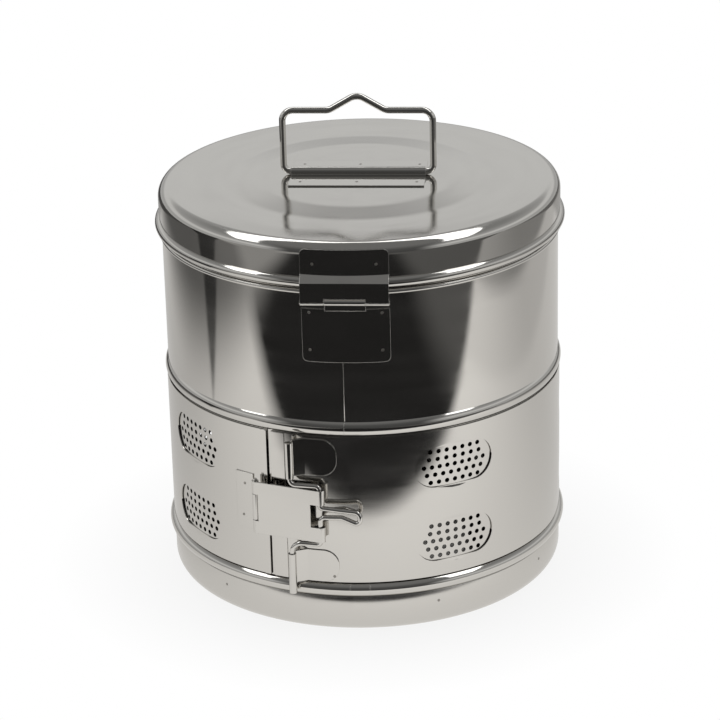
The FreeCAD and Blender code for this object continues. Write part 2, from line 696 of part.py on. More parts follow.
def curved_leaf(body, name, inner_radius, low, high):
    """A sheet bent round the drum, centred on the hinge."""
    spread = leaf_spread(inner_radius + hinge_sheet)
    sketch = new_sketch(body, name + "Profile", "XZ_Plane", turn=-spread - RIGHT_ANGLE)
    rectangle(sketch, inner_radius, low, inner_radius + hinge_sheet, high)
    turned(body, name, sketch, spread * 2.0)


def knuckle_piece(body, name, corners, half_length):
    """A straight sheet beside the pin, drawn from the side, and the barrel that it is rolled into."""
    web = new_sketch(body, name + "Web", "YZ_Plane")
    outline(web, corners)
    padded(body, name + "Sheet", web, half_length * 2.0, symmetric=True)
    barrel = new_sketch(body, name + "Round", "YZ_Plane")
    circle(barrel, -hinge_axis, hinge_height, hinge_barrel)
    padded(body, name + "Barrel", barrel, half_length * 2.0, symmetric=True)


def pin_bore(body, name):
    bore = new_sketch(body, name, "YZ_Plane")
    circle(bore, -hinge_axis, hinge_height, hinge_bore)
    pocketed(body, name + "Cut", bore, hinge_half * 3.0, symmetric=True)


def at_leaf_corner(height):
    """True for the short edges through the sheet at one end of a leaf."""
    def wanted(edge):
        middle = edge.CenterOfMass
        short = edge.Length < 1.5 * hinge_sheet.number
        outer = abs(middle.x) > 0.95 * hinge_half.number
        return short and outer and abs(middle.z - height.number) < 0.01
    return wanted


hinge_lid_leaf = new_body("hinge_lid_leaf")
curved_leaf(hinge_lid_leaf, "LidLeaf", lid_radius, lid_leaf_bend, lid_leaf_top)
rounded_edges(hinge_lid_leaf, "LidLeafCorners", leaf_corner, at_leaf_corner(lid_leaf_top))
bend_top = new_sketch(hinge_lid_leaf, "BendTop", "XY_Plane", lift=lid_leaf_bend)


def round_depth(radius):
    """How far in front of the drum's axis a round sheet lies at the hinge's half width."""
    return (radius * radius - hinge_half * hinge_half).root()


outline(bend_top, [
    (-hinge_half, -round_depth(lid_radius + hinge_sheet), lid_radius + hinge_sheet, True),
    (hinge_half, -round_depth(lid_radius + hinge_sheet)),
    (hinge_half, -round_depth(lid_radius), lid_radius, False),
    (-hinge_half, -round_depth(lid_radius)),
])
bend_bottom = new_sketch(hinge_lid_leaf, "BendBottom", "XY_Plane", lift=web_top)
rectangle(bend_bottom, -hinge_half, -web_outer, hinge_half, -web_inner)
bend = feature(hinge_lid_leaf, "AdditiveLoft", "Bend", bend_top)
bend.Sections = [bend_bottom]
bend.Ruled = True
knuckle_piece(hinge_lid_leaf, "LidKnuckle", [
    (-web_outer, web_top),
    (-web_outer, hinge_height),
    (-web_inner, hinge_height),
    (-web_inner, web_top),
], hinge_half)
clearing = new_sketch(hinge_lid_leaf, "MiddleGap", "YZ_Plane")
gap_top = hinge_height + hinge_barrel + cell("hinge_knuckle_gap")
rectangle(clearing, -hinge_axis - hinge_barrel * 2.0, hinge_height - hinge_barrel * 2.0,
          -hinge_axis + hinge_barrel * 2.0, gap_top)
pocketed(hinge_lid_leaf, "MiddleGapCut", clearing,
         (middle_half + cell("hinge_knuckle_gap")) * 2.0, symmetric=True)
pin_bore(hinge_lid_leaf, "LidLeafBore")

hinge_body_leaf = new_body("hinge_body_leaf")
curved_leaf(hinge_body_leaf, "BodyLeaf", shell_radius, body_leaf_bottom, body_leaf_top)
rounded_edges(hinge_body_leaf, "BodyLeafCorners", leaf_corner, at_leaf_corner(body_leaf_bottom))

# The middle knuckle's neck runs this far into its leaf and its barrel, and ends this far under the pin.
NECK_LAP = 0.15
NECK_DROP = 0.6
neck_end = -hinge_axis + hinge_barrel - NECK_LAP
neck_high = hinge_height - NECK_DROP
neck_foot = -shell_radius - NECK_LAP
neck_low = body_leaf_top - hinge_sheet
knuckle_piece(hinge_body_leaf, "BodyKnuckle", [
    (neck_foot - hinge_sheet, neck_low),
    (neck_end - hinge_sheet, neck_high),
    (neck_end, neck_high),
    (neck_foot, neck_low),
], middle_half)
pin_bore(hinge_body_leaf, "BodyLeafBore")

hinge_pin = new_body("hinge_pin")
pin_section = new_sketch(hinge_pin, "PinSection", "YZ_Plane")
circle(pin_section, -hinge_axis, hinge_height, cell("hinge_pin_size") / 2.0)
padded(hinge_pin, "PinRod", pin_section, (hinge_half + cell("hinge_pin_end")) * 2.0, symmetric=True)

# Turning band: an open ring of sheet between the guide beads, with a window over every field of holes.
sliding_band = new_body("sliding_band")
band_inner = shell_radius + cell("band_play")
band_outer = band_inner + cell("band_sheet")
band_edge = cell("band_edge")
band_gap = cell("band_gap")
FULL_TURN = 360.0


def band_strip(name, start, sweep, inner, outer):
    """Part of a ring of the band's height, from one angle round to another."""
    sketch = new_sketch(sliding_band, name + "Section", "XZ_Plane", turn=start - RIGHT_ANGLE)
    rectangle(sketch, inner, band_low, outer, band_high)
    turned(sliding_band, name, sketch, sweep)


hem_outer = band_outer + cell("hem_sheet")
band_strip("BandSheet", band_edge, FULL_TURN - band_gap, band_inner, band_outer)
band_strip("RightHem", band_edge, cell("right_hem"), band_outer, hem_outer)
band_strip("LeftHem", band_edge - band_gap - cell("left_hem"), cell("left_hem"), band_outer, hem_outer)
window_sketch = new_sketch(sliding_band, "Windows", "XZ_Plane", turn=cell("first_window"), forward=cut_start)
window_radius = cell("window_width") / 2.0
window_reach = (cell("window_length") - cell("window_width")) / 2.0
for window_height in (lower_window, upper_window):
    slot(window_sketch, -window_reach, window_reach, window_height, window_radius)
window_cut = pocketed(sliding_band, "WindowColumn", window_sketch, cut_depth + hem_outer - shell_radius,
                      outwards=True)
columns(sliding_band, "WindowColumns", window_cut)

# Toggle clamp: a plate hinged on the band's left end and a wire lever hinged on its right end.
# A sheet bends up to its tube from a foot of this angle, which starts this far over the band's face.
FOOT_TURN = 0.4
FOOT_PLAY = 0.02
pivot_radius = band_outer + cell("pivot_rise")
pivot_angle = cell("pivot_angle")
lever_arm = cell("lever_arm")
pin_arm = cell("pin_arm")
pin_bearing = pivot_angle - cell("pin_drop")
crank_bearing = pivot_angle + cell("crank_drop")
pivot_east = pivot_radius * pivot_angle.sine()
pivot_north = -pivot_radius * pivot_angle.cosine()
pin_east = pivot_east - pin_arm * pin_bearing.cosine()
pin_north = pivot_north - pin_arm * pin_bearing.sine()
pin_distance = (pin_east * pin_east + pin_north * pin_north).root()
pin_angle = Size(math.degrees(math.atan2(pin_east.number, -pin_north.number)),
                 "(atan(%s / (0 - %s)) / 1deg)" % (pin_east.formula, pin_north.formula))
plate_run = pivot_east + lever_arm * crank_bearing.cosine() - pin_east
plate_rise = pivot_north + lever_arm * crank_bearing.sine() - pin_north
plate_bearing = Size(math.degrees(math.atan2(plate_rise.number, plate_run.number)),
                     "(atan(%s / %s) / 1deg)" % (plate_rise.formula, plate_run.formula))
crank_reach = (plate_run * plate_run + plate_rise * plate_rise).root()
clamp_sheet = cell("clamp_sheet")
lever_wire_radius = cell("lever_wire") / 2.0
lever_bore = lever_wire_radius + cell("lever_clearance")
lever_barrel = lever_bore + clamp_sheet
pin_bore_radius = cell("clamp_pin_size") / 2.0 + cell("clamp_pin_clearance")
pin_barrel = pin_bore_radius + clamp_sheet
clamp_middle = (band_low + band_high) / 2.0 - cell("clamp_drop")
plate_half = cell("plate_half_height")
tongue_half = cell("tongue_half_height")
tongue_gap = cell("tongue_gap")


def plan_sketch(body, name, low):
    """A sketch seen from above, at a height over the body's own origin."""
    return new_sketch(body, name, "XY_Plane", lift=low)


def on_round(distance, radius, angle):
    """A point of a round about the drum's axis, seen from a frame that lies at a distance from it."""
    return radius * angle.sine(), distance - radius * angle.cosine()


def curved_strip(body, name, distance, first, last, low, height):
    """A clamp sheet that lies on the band between two angles from the body's origin."""
    sketch = plan_sketch(body, name + "Plan", low)
    outer = band_outer + clamp_sheet
    outline(sketch, [
        on_round(distance, outer, first) + (outer, True),
        on_round(distance, outer, last),
        on_round(distance, band_outer, last) + (band_outer, False),
        on_round(distance, band_outer, first),
    ])
    padded(body, name, sketch, height)


# Clamp leaf: welded to the band's left end; its tongue is rolled over the middle of the pin.
clamp_leaf = new_body("clamp_leaf")
place(clamp_leaf, pin_east, pin_north, clamp_middle, pin_angle)
leaf_half = cell("clamp_leaf_half_height")
leaf_right = cell("clamp_leaf_right")
curved_strip(clamp_leaf, "LeafSheet", pin_distance, cell("clamp_leaf_left"), leaf_right, -leaf_half,
             leaf_half * 2.0)
ramp_back = on_round(pin_distance, band_outer + FOOT_PLAY, leaf_right - FOOT_TURN)
ramp_shoulder = on_round(pin_distance, band_outer + clamp_sheet, leaf_right - FOOT_TURN)
ramp_front = on_round(pin_distance, band_outer + FOOT_PLAY, leaf_right + FOOT_TURN)
ramp_side = pin_barrel * 0.8
ramp_top = pin_barrel * 0.6
tongue_sketch = plan_sketch(clamp_leaf, "TonguePlan", -tongue_half)
outline(tongue_sketch, [
    ramp_back,
    ramp_shoulder,
    (-ramp_side, -ramp_top),
    (-ramp_side, ramp_top),
    ramp_front,
])
padded(clamp_leaf, "Tongue", tongue_sketch, tongue_half * 2.0)
tongue_round = plan_sketch(clamp_leaf, "TongueRound", -tongue_half)
circle(tongue_round, 0, 0, pin_barrel)
padded(clamp_leaf, "TongueBarrel", tongue_round, tongue_half * 2.0)
tongue_hole = plan_sketch(clamp_leaf, "TongueHole", 0)
circle(tongue_hole, 0, 0, pin_bore_radius)
pocketed(clamp_leaf, "TongueBore", tongue_hole, leaf_half * 3.0, symmetric=True)

# Clamp pin: the short rod through the clamp's three knuckles.
clamp_pin = new_body("clamp_pin")
place(clamp_pin, pin_east, pin_north, clamp_middle, pin_angle)
clamp_pin_sketch = plan_sketch(clamp_pin, "ClampPinSection", 0)
circle(clamp_pin_sketch, 0, 0, cell("clamp_pin_size") / 2.0)
padded(clamp_pin, "ClampPinRod", clamp_pin_sketch, (plate_half + cell("clamp_pin_end")) * 2.0, symmetric=True)

# Clamp plate: a flat plate with two knuckles on the pin and two long hems round the lever's crank.
clamp_plate = new_body("clamp_plate")
place(clamp_plate, pin_east, pin_north, clamp_middle, plate_bearing)
plate_outer = -lever_barrel
plate_inner = plate_outer + clamp_sheet
hem_left = pin_arm + lever_arm - cell("crank_travel")
hem_right = pin_arm + lever_arm + cell("crank_over")
plate_sketch = plan_sketch(clamp_plate, "PlatePlan", -plate_half)
rectangle(plate_sketch, 0, plate_outer, crank_reach, plate_inner)
padded(clamp_plate, "FlatPlate", plate_sketch, plate_half * 2.0)
knuckle_sketch = plan_sketch(clamp_plate, "PlateKnuckles", -plate_half)
circle(knuckle_sketch, 0, 0, pin_barrel)
padded(clamp_plate, "PlateBarrel", knuckle_sketch, plate_half * 2.0)
hem_sketch = plan_sketch(clamp_plate, "HemPlan", -plate_half)
slot(hem_sketch, hem_left, hem_right, 0, lever_barrel)
padded(clamp_plate, "Hems", hem_sketch, plate_half * 2.0)
for cut_name, left, right, half in (
        ("TongueSlot", -pin_barrel * 2.0, pin_barrel + tongue_gap, tongue_half + tongue_gap),
        ("Notch", crank_reach - cell("notch_depth"), crank_reach + lever_barrel * 2.0,
         cell("notch_half_height"))):
    cut_sketch = new_sketch(clamp_plate, cut_name + "Front", "XZ_Plane")
    rectangle(cut_sketch, left, -half, right, half)
    pocketed(clamp_plate, cut_name, cut_sketch, lever_barrel * 4.0, symmetric=True)
bore_sketch = plan_sketch(clamp_plate, "PlateBores", 0)
circle(bore_sketch, 0, 0, pin_bore_radius)
slot(bore_sketch, hem_left, hem_right, 0, lever_bore)
pocketed(clamp_plate, "PlateBoreCut", bore_sketch, plate_half * 3.0, symmetric=True)


# Lever leaves: two leaves welded to the band's right end, each rolled into a tube for one end of the lever.
RAMP_OUTER = (0.85, 0.4)
RAMP_INNER = (0.45, 0.85)


def lever_leaf(name, middle, half, tube_low, tube_high):
    body = new_body(name)
    place(body, pivot_east, pivot_north, 0, pivot_angle)
    start = cell("flag_start")
    end = cell("flag_end")
    curved_strip(body, "FlagSheet", pivot_radius, start, end, middle - half, half * 2.0)

    def at_round_end(edge):
        short = edge.Length < 1.5 * clamp_sheet.number
        return short and edge.CenterOfMass.x > on_round(pivot_radius, band_outer, end)[0].number - 1.0

    rounded_edges(body, "RoundEnd", cell("flag_corner"), at_round_end)
    back = on_round(pivot_radius, band_outer + FOOT_PLAY, start + FOOT_TURN)
    shoulder = on_round(pivot_radius, band_outer + clamp_sheet, start + FOOT_TURN)
    front = on_round(pivot_radius, band_outer + FOOT_PLAY, start - FOOT_TURN)
    ramp = plan_sketch(body, "RampPlan", middle - half)
    outline(ramp, [
        back,
        shoulder,
        (lever_barrel * RAMP_OUTER[0], lever_barrel * RAMP_OUTER[1]),
        (lever_barrel * RAMP_INNER[0], lever_barrel * RAMP_INNER[1]),
        front,
    ])
    padded(body, "Ramp", ramp, half * 2.0)
    tube = plan_sketch(body, "TubePlan", tube_low)
    circle(tube, 0, 0, lever_barrel)
    padded(body, "Tube", tube, tube_high - tube_low)
    hole = plan_sketch(body, "TubeHole", middle)
    circle(hole, 0, 0, lever_bore)
    pocketed(body, "TubeBore", hole, half * 8.0, symmetric=True)


upper_tube_high = band_high - cell("upper_tube_drop")
upper_tube_low = upper_tube_high - cell("upper_tube_length")
lower_tube_low = band_low - cell("lower_tube_drop")
lower_tube_high = lower_tube_low + cell("lower_tube_length")
lever_leaf("upper_lever_leaf", band_high - cell("upper_flag_drop"), cell("upper_flag_half"),
           upper_tube_low, upper_tube_high)
lever_leaf("lower_lever_leaf", band_low + cell("lower_flag_lift"), cell("lower_flag_half"),
           lower_tube_low, lower_tube_high)

# Toggle lever: one bent wire, from the upper tube through the plate's hems and the grip to the lower tube.
toggle_lever = new_body("toggle_lever")
place(toggle_lever, pivot_east, pivot_north, 0, crank_bearing)
END_INSET = 1.5
TUBE_BEND = 3.4
ARM_BEND = 2.6
LOWER_BEND = 6.5
ROOT_BEND_TOP = 2.2
WAIST_BEND = 5.0
END_BEND_TOP = 3.4
END_BEND_FOOT = 2.6
ROOT_BEND_FOOT = 3.2
lever_top = upper_tube_high - END_INSET
lever_bottom = lower_tube_low + END_INSET
upper_run = upper_tube_low - cell("upper_arm_gap")
lower_run = lower_tube_high + cell("lower_arm_gap")
waist = cell("grip_waist")
grip_end = cell("grip_end")
lever_path = new_sketch(toggle_lever, "LeverPath", "XZ_Plane")
bent_path(lever_path, [
    (0, lever_top),
    (0, upper_run, TUBE_BEND),
    (lever_arm, upper_run, ARM_BEND),
    (lever_arm, clamp_middle + cell("grip_root_top"), ROOT_BEND_TOP),
    (waist, clamp_middle + cell("grip_waist_top"), WAIST_BEND),
    (grip_end, clamp_middle + cell("grip_end_top"), END_BEND_TOP),
    (grip_end, clamp_middle + cell("grip_end_foot"), END_BEND_FOOT),
    (waist, clamp_middle + cell("grip_waist_foot"), WAIST_BEND),
    (lever_arm, clamp_middle + cell("grip_root_foot"), ROOT_BEND_FOOT),
    (lever_arm, lower_run, ARM_BEND),
    (0, lower_run, LOWER_BEND),
    (0, lever_bottom),
])
lever_section = plan_sketch(toggle_lever, "LeverSection", lever_top)
circle(lever_section, 0, 0, lever_wire_radius)
piped(toggle_lever, "LeverWire", lever_section, lever_path)

doc.recompute()
failed = [item.Label for item in doc.Objects if {"Invalid", "Error"} & set(item.State)]
if failed:
    raise RuntimeError("failed objects: %s" % ", ".join(failed))
os.makedirs(PARTS_FOLDER, exist_ok=True)
bodies = [item for item in doc.Objects if item.TypeId == "PartDesign::Body"]
for body in bodies:
    shape = body.Shape
    if shape.isNull() or not shape.isValid() or len(shape.Solids) != 1:
        raise RuntimeError("%s is not one valid solid" % body.Label)
for body in bodies:
    body.Shape.exportStep(os.path.join(PARTS_FOLDER, body.Label + ".step"))
    print("%-18s volume %9.1f mm3" % (body.Label, body.Shape.Volume))
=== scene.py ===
# %% [markdown]
# # A round steam-sterilizing drum in stainless steel
# A surgeon's dressings are packed in this drum and steamed through its small holes; then a band is
# turned over the holes to shut them. Everything on it is rolled, pressed or bent from stainless steel, so this
# lesson is mostly about one question: how does plain bright metal get its look? The answer is
# half in the surface and half in what stands around it.

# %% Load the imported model
import math

import bmesh
import bpy
import numpy as np
from mathutils import Matrix, Vector
from mathutils.geometry import delaunay_2d_cdt


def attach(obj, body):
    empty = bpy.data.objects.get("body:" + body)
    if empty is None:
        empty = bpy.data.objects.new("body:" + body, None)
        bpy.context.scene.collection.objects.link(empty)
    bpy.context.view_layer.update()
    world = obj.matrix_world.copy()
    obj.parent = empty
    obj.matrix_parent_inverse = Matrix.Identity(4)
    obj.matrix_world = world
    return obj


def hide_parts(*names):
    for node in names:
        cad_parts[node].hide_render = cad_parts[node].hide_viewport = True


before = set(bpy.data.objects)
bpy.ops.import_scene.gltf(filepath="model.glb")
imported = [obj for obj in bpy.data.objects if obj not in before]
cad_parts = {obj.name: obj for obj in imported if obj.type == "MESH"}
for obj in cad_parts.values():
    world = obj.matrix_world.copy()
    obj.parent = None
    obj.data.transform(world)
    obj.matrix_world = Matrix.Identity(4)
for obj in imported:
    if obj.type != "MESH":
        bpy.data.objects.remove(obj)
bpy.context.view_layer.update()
scene = bpy.context.scene
scene.view_settings.view_transform = "Standard"
MM = 0.001

# %% [markdown]
# ## The camera
# The photograph was taken from a little right of the hinge and from above, with a long lens. The lens is
# found from how fast the rings of the drum close up towards the back: that gives 147 mm on a 36 mm sensor.
# The picture also leans by a degree and a half, which is a roll about the view axis.

# %% Camera
LENS_MM = 147.48
CAMERA_AT = Vector((135.53, -1684.43, 814.41)) * MM
LOOKS_AT = Vector((-2.06, 0.0, 126.84)) * MM
ROLL = math.radians(-1.4555)


def camera_matrix(place, target, roll):
    forward = (target - place).normalized()
    level_right = forward.cross(Vector((0, 0, 1))).normalized()
    level_up = level_right.cross(forward)
    right = level_right * math.cos(roll) + level_up * math.sin(roll)
    up = level_up * math.cos(roll) - level_right * math.sin(roll)
    turn = Matrix((right, up, -forward)).transposed()
    return Matrix.Translation(place) @ turn.to_4x4()


camera_data = bpy.data.cameras.new("camera")
camera_data.lens = LENS_MM
camera_data.sensor_width = 36.0
camera_data.clip_end = 20.0
camera = bpy.data.objects.new("camera", camera_data)
camera.matrix_world = camera_matrix(CAMERA_AT, LOOKS_AT, ROLL)
scene.collection.objects.link(camera)
scene.camera = camera
print("camera distance to the drum's middle: %.3f m" % (LOOKS_AT - CAMERA_AT).length)

# %% [markdown]
# ## Colours and nodes
# Colours are written as the hex values that a picture editor shows. Blender works in linear light,
# so one function does the conversion. One more function adds a node and wires it up; every material
# below is made with it.


# %% Colour and node helpers
def linear(hex_colour):
    """A hex sRGB colour as linear light with full alpha."""
    parts = [int(hex_colour[i:i + 2], 16) / 255 for i in (1, 3, 5)]
    light = [c / 12.92 if c <= 0.04045 else ((c + 0.055) / 1.055) ** 2.4 for c in parts]
    return (*light, 1.0)


def add(tree, kind, values=None, links=None, **settings):
    """Adds a node, sets its properties and input values, and links named outputs to its inputs."""
    made = tree.nodes.new(kind)
    for name, value in settings.items():
        setattr(made, name, value)
    for name, value in (values or {}).items():
        made.inputs[name].default_value = value
    for name, source in (links or {}).items():
        tree.links.new(source, made.inputs[name])
    return made


print("mid grey #808080 is %.3f in linear light" % linear("#808080")[0])

# %% [markdown]
# ## Stainless steel, in several finishes
# The sheet is an 18-8 chromium-nickel steel. Its colour hardly changes from piece to piece; what
# changes is how it was finished. A shell that was buffed against a mop mirrors the room with faint hair lines
# running round it. The band and the base were only brushed, so their mirror image is spread out. The wire
# is drawn through a die and stays bright. So they share one base colour, and differ in roughness and in the
# height of the hair lines; only the welds and the shell's inside are darker. The inside, dulled by steam, is
# rougher, and its darker colour is painted shade: the shade inside the closed drum, seen through the holes. The
# lines of a real buff are under 0.1 mm wide; here they are drawn 0.6 mm wide, because finer ones would vanish
# between the pixels. The edges of thin leaves are rounded in the shading, so that they catch a line of light.

# %% Steel materials
STEEL = "#CFCDC9"
HAIR_LINE_MM = 0.6
HAIR_RUN_PER_M = 25.0
SMEARS_PER_M = (18.0, 90.0, 1.0)
ROLLING_RADIUS_M = 0.12


def round_coordinates(tree):
    """Distance round the drum, height, and distance from the axis, in metres."""
    place = add(tree, "ShaderNodeTexCoord")
    axes = add(tree, "ShaderNodeSeparateXYZ", links={0: place.outputs["Object"]})
    angle = add(tree, "ShaderNodeMath", operation="ARCTAN2",
                links={0: axes.outputs["X"], 1: axes.outputs["Y"]})
    along = add(tree, "ShaderNodeMath", {1: ROLLING_RADIUS_M}, {0: angle.outputs[0]},
                operation="MULTIPLY")
    flat = add(tree, "ShaderNodeCombineXYZ", links={"X": axes.outputs["X"], "Y": axes.outputs["Y"]})
    reach = add(tree, "ShaderNodeVectorMath", links={0: flat.outputs[0]}, operation="LENGTH")
    return along.outputs[0], axes.outputs["Z"], reach.outputs["Value"]


def steel(name, roughness, line_height_um, spread, lines="round", tint=STEEL, edge_mm=0.0):
    """Stainless steel with hair lines, round the drum or in rings; edge_mm rounds sharp edges in the shading."""
    material = bpy.data.materials.new(name)
    material.use_nodes = True
    tree = material.node_tree
    tree.nodes.clear()
    along, height, reach = round_coordinates(tree)
    across = height if lines == "round" else reach
    grain_place = add(tree, "ShaderNodeCombineXYZ", links={"X": along, "Y": across})
    stretched = add(tree, "ShaderNodeVectorMath", {1: (HAIR_RUN_PER_M, 1000.0 / HAIR_LINE_MM, 1.0)},
                    {0: grain_place.outputs[0]}, operation="MULTIPLY")
    hairs = add(tree, "ShaderNodeTexNoise", {"Scale": 1.0, "Detail": 3.0, "Roughness": 0.6},
                {"Vector": stretched.outputs[0]})
    smear_place = add(tree, "ShaderNodeVectorMath", {1: SMEARS_PER_M}, {0: grain_place.outputs[0]},
                      operation="MULTIPLY")
    smears = add(tree, "ShaderNodeTexNoise", {"Scale": 1.0, "Detail": 2.0}, {"Vector": smear_place.outputs[0]})
    rough = add(tree, "ShaderNodeMapRange",
                {"From Min": 0.3, "From Max": 0.7, "To Min": roughness * (1 - spread),
                 "To Max": roughness * (1 + spread)}, {"Value": smears.outputs["Fac"]})
    bump = add(tree, "ShaderNodeBump", {"Strength": 1.0, "Distance": line_height_um * 1e-6},
               {"Height": hairs.outputs["Fac"]})
    if edge_mm:
        edge = add(tree, "ShaderNodeBevel", {"Radius": edge_mm * MM}, samples=6)
        tree.links.new(edge.outputs["Normal"], bump.inputs["Normal"])
    surface = add(tree, "ShaderNodeBsdfPrincipled", {"Base Color": linear(tint), "Metallic": 1.0},
                  {"Roughness": rough.outputs["Result"], "Normal": bump.outputs["Normal"]})
    out = add(tree, "ShaderNodeOutputMaterial", links={"Surface": surface.outputs[0]})
    print("%-24s roughness %.2f, hair lines %.1f um high" % (name, roughness, line_height_um))
    return material


buffed_sheet = steel("buffed_stainless_sheet", 0.075, 1.6, 0.35)
# the shell's inside: rough, with a dark tint that is painted shade for the inside of the closed drum
shaded_shell_inside = steel("dull_shaded_stainless_inside", 0.5, 3.0, 0.2, tint="#55534F")
brushed_band = steel("brushed_stainless_band", 0.1, 2.4, 0.3)
brushed_base = steel("brushed_stainless_base", 0.14, 3.0, 0.25)
buffed_lid = steel("buffed_stainless_lid", 0.12, 2.0, 0.3, lines="rings")
mirror_leaf = steel("mirror_stainless_leaf", 0.05, 0.6, 0.3, edge_mm=0.35)
pressed_plate = steel("satin_stainless_plate", 0.13, 1.0, 0.2, edge_mm=0.35)
drawn_wire = steel("drawn_stainless_wire", 0.08, 0.0, 0.3)
weld_spot = steel("weld_spot", 0.35, 6.0, 0.3, tint="#9A9792")

# %% [markdown]
# ## Turned sheet metal
# Shell, base and lid are all rolled or pressed round one axis, so a profile turned about that axis gives
# them, as on a lathe. The solids use the same profile, but a mirror shows every flat facet, so
# here each profile is turned in over three hundred steps and its beads are drawn with more points.


# %% Profile and turning helpers
def arc_points(start, crest, finish, count):
    """Points on the circle through three points, from the first to the last."""
    (ax, ay), (bx, by), (cx, cy) = start, crest, finish
    d = 2 * (ax * (by - cy) + bx * (cy - ay) + cx * (ay - by))
    ux = ((ax * ax + ay * ay) * (by - cy) + (bx * bx + by * by) * (cy - ay) + (cx * cx + cy * cy) * (ay - by)) / d
    uy = ((ax * ax + ay * ay) * (cx - bx) + (bx * bx + by * by) * (ax - cx) + (cx * cx + cy * cy) * (bx - ax)) / d
    radius = math.hypot(ax - ux, ay - uy)
    a0, a1, a2 = [math.atan2(y - uy, x - ux) for x, y in (start, crest, finish)]
    full = 2 * math.pi
    sweep = (a2 - a0) % full
    if (a1 - a0) % full > sweep:
        sweep -= full
    steps = [a0 + sweep * i / count for i in range(count + 1)]
    return [(ux + radius * math.cos(a), uy + radius * math.sin(a)) for a in steps]


def drum_point(radius, angle_deg, height):
    """A point at an angle round the drum, counted from the hinge (-Y) towards +X. Millimetres in, metres out."""
    a = math.radians(angle_deg)
    return Vector((radius * math.sin(a), -radius * math.cos(a), height)) * MM


def new_mesh(name, points, faces, material, body, sharp_deg=32.0):
    mesh = bpy.data.meshes.new(name)
    mesh.from_pydata([tuple(p) for p in points], [], faces)
    shaped = bmesh.new()
    shaped.from_mesh(mesh)
    bmesh.ops.remove_doubles(shaped, verts=shaped.verts, dist=1e-6)
    bmesh.ops.recalc_face_normals(shaped, faces=shaped.faces)
    shaped.to_mesh(mesh)
    shaped.free()
    mesh.shade_smooth()
    mesh.set_sharp_from_angle(angle=math.radians(sharp_deg))
    piece = bpy.data.objects.new(name, mesh)
    scene.collection.objects.link(piece)
    mesh.materials.append(material)
    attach(piece, body)
    return piece


def turned(name, profile, angles, material, body):
    """Turns a closed profile of (radius, height) through the given angles; a full turn closes on itself."""
    closed = abs((angles[-1] - angles[0]) - 360) < 1e-6
    stations = angles[:-1] if closed else angles
    points = [drum_point(r, a, z) for a in stations for r, z in profile]
    size = len(profile)
    faces = []
    for s in range(len(stations) if closed else len(stations) - 1):
        following = (s + 1) % len(stations)
        for i in range(size):
            j = (i + 1) % size
            faces.append((s * size + i, following * size + i, following * size + j, s * size + j))
    if not closed:
        faces.append(tuple(range(size)))
        faces.append(tuple(reversed(range((len(stations) - 1) * size, len(stations) * size))))
    return new_mesh(name, points, faces, material, body)


def even_angles(start, sweep, step):
    count = max(2, math.ceil(abs(sweep) / step))
    return [start + sweep * i / count for i in range(count + 1)]


FULL_ROUND = even_angles(0.0, 360.0, 1.125)
print("a full turn takes %d steps" % (len(FULL_ROUND) - 1))

# %% [markdown]
# ## The base pan and the lid
# Both are cups pressed in one stroke from a flat disc. The lid has a round shoulder, a rolled bead at its
# rim for stiffness, and a raised disc with a soft slope round it. A press never leaves a true corner, so the slope's
# two edges are rounded here with small arcs; that is what makes the thin bright rings on the lid.

# %% Base pan
BASE_R, BASE_SHEET, BASE_CORNER = 120.7, 0.7, 9.2
corner_in = BASE_CORNER - BASE_SHEET


def quarter(cx, cy, radius, from_deg, to_deg, count=10):
    steps = [math.radians(from_deg + (to_deg - from_deg) * i / count) for i in range(count + 1)]
    return [(cx + radius * math.cos(a), cy + radius * math.sin(a)) for a in steps]


floor_line = [(0.02, 0), (64, 0), (69, 1.5), (87, 1.5), (92, 0)]
base_profile = floor_line + quarter(BASE_R - BASE_CORNER, BASE_CORNER, BASE_CORNER, -90, 0)
base_profile += [(BASE_R, 23.9), (BASE_R - 0.15, 24.2), (BASE_R - BASE_SHEET + 0.01, 24.2)]
base_profile += quarter(BASE_R - BASE_CORNER, BASE_CORNER, corner_in - 0.01, 0, -90)
base_profile += [(r, z + BASE_SHEET) for r, z in reversed(floor_line)]
base = turned("pressed_base", base_profile, FULL_ROUND, brushed_base, "drum")
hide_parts("base_pan")
print("base pan: %d faces" % len(base.data.polygons))

# %% Lid
LID_R, LID_SHEET, LID_TOP, LID_CORNER = 121.4, 0.6, 246.6, 7.0
RIM_HEIGHT, RIM_HALF, RIM_RISE, RIM_HALF_INSIDE = 223.4, 3.1, 2.6, 2.52
DISC_R, RING_R, DISC_RISE = 58.6, 79.3, 1.3
TOP_FINISH_DEPTH = 0.8


def soft_corner(before, corner, after, size, count=5):
    """A quadratic round-off of a profile corner that starts and ends the given distance away."""
    b, c, a = Vector(before), Vector(corner), Vector(after)
    first = c + (b - c).normalized() * size
    last = c + (a - c).normalized() * size
    steps = [i / count for i in range(count + 1)]
    return [tuple(first * (1 - s) ** 2 + c * 2 * s * (1 - s) + last * s * s) for s in steps]


DISC_TOP = LID_TOP + DISC_RISE
rim_low, rim_high = RIM_HEIGHT - RIM_HALF, RIM_HEIGHT + RIM_HALF
top_line = [(LID_R - LID_CORNER, LID_TOP)]
top_line += soft_corner((LID_R - LID_CORNER, LID_TOP), (RING_R, LID_TOP), (DISC_R, DISC_TOP), 3.0)
top_line += soft_corner((RING_R, LID_TOP), (DISC_R, DISC_TOP), (0, DISC_TOP), 3.0)
top_line += [(0.02, DISC_TOP)]
outside = [(LID_R, rim_low)] + arc_points((LID_R, rim_low), (LID_R + RIM_RISE, RIM_HEIGHT), (LID_R, rim_high), 18)
outside += quarter(LID_R - LID_CORNER, LID_TOP - LID_CORNER, LID_CORNER, 0, 90, 14) + top_line[1:]
inner_r, inner_corner = LID_R - LID_SHEET, LID_CORNER - LID_SHEET
under = [(r, z - LID_SHEET) for r, z in reversed(top_line)]
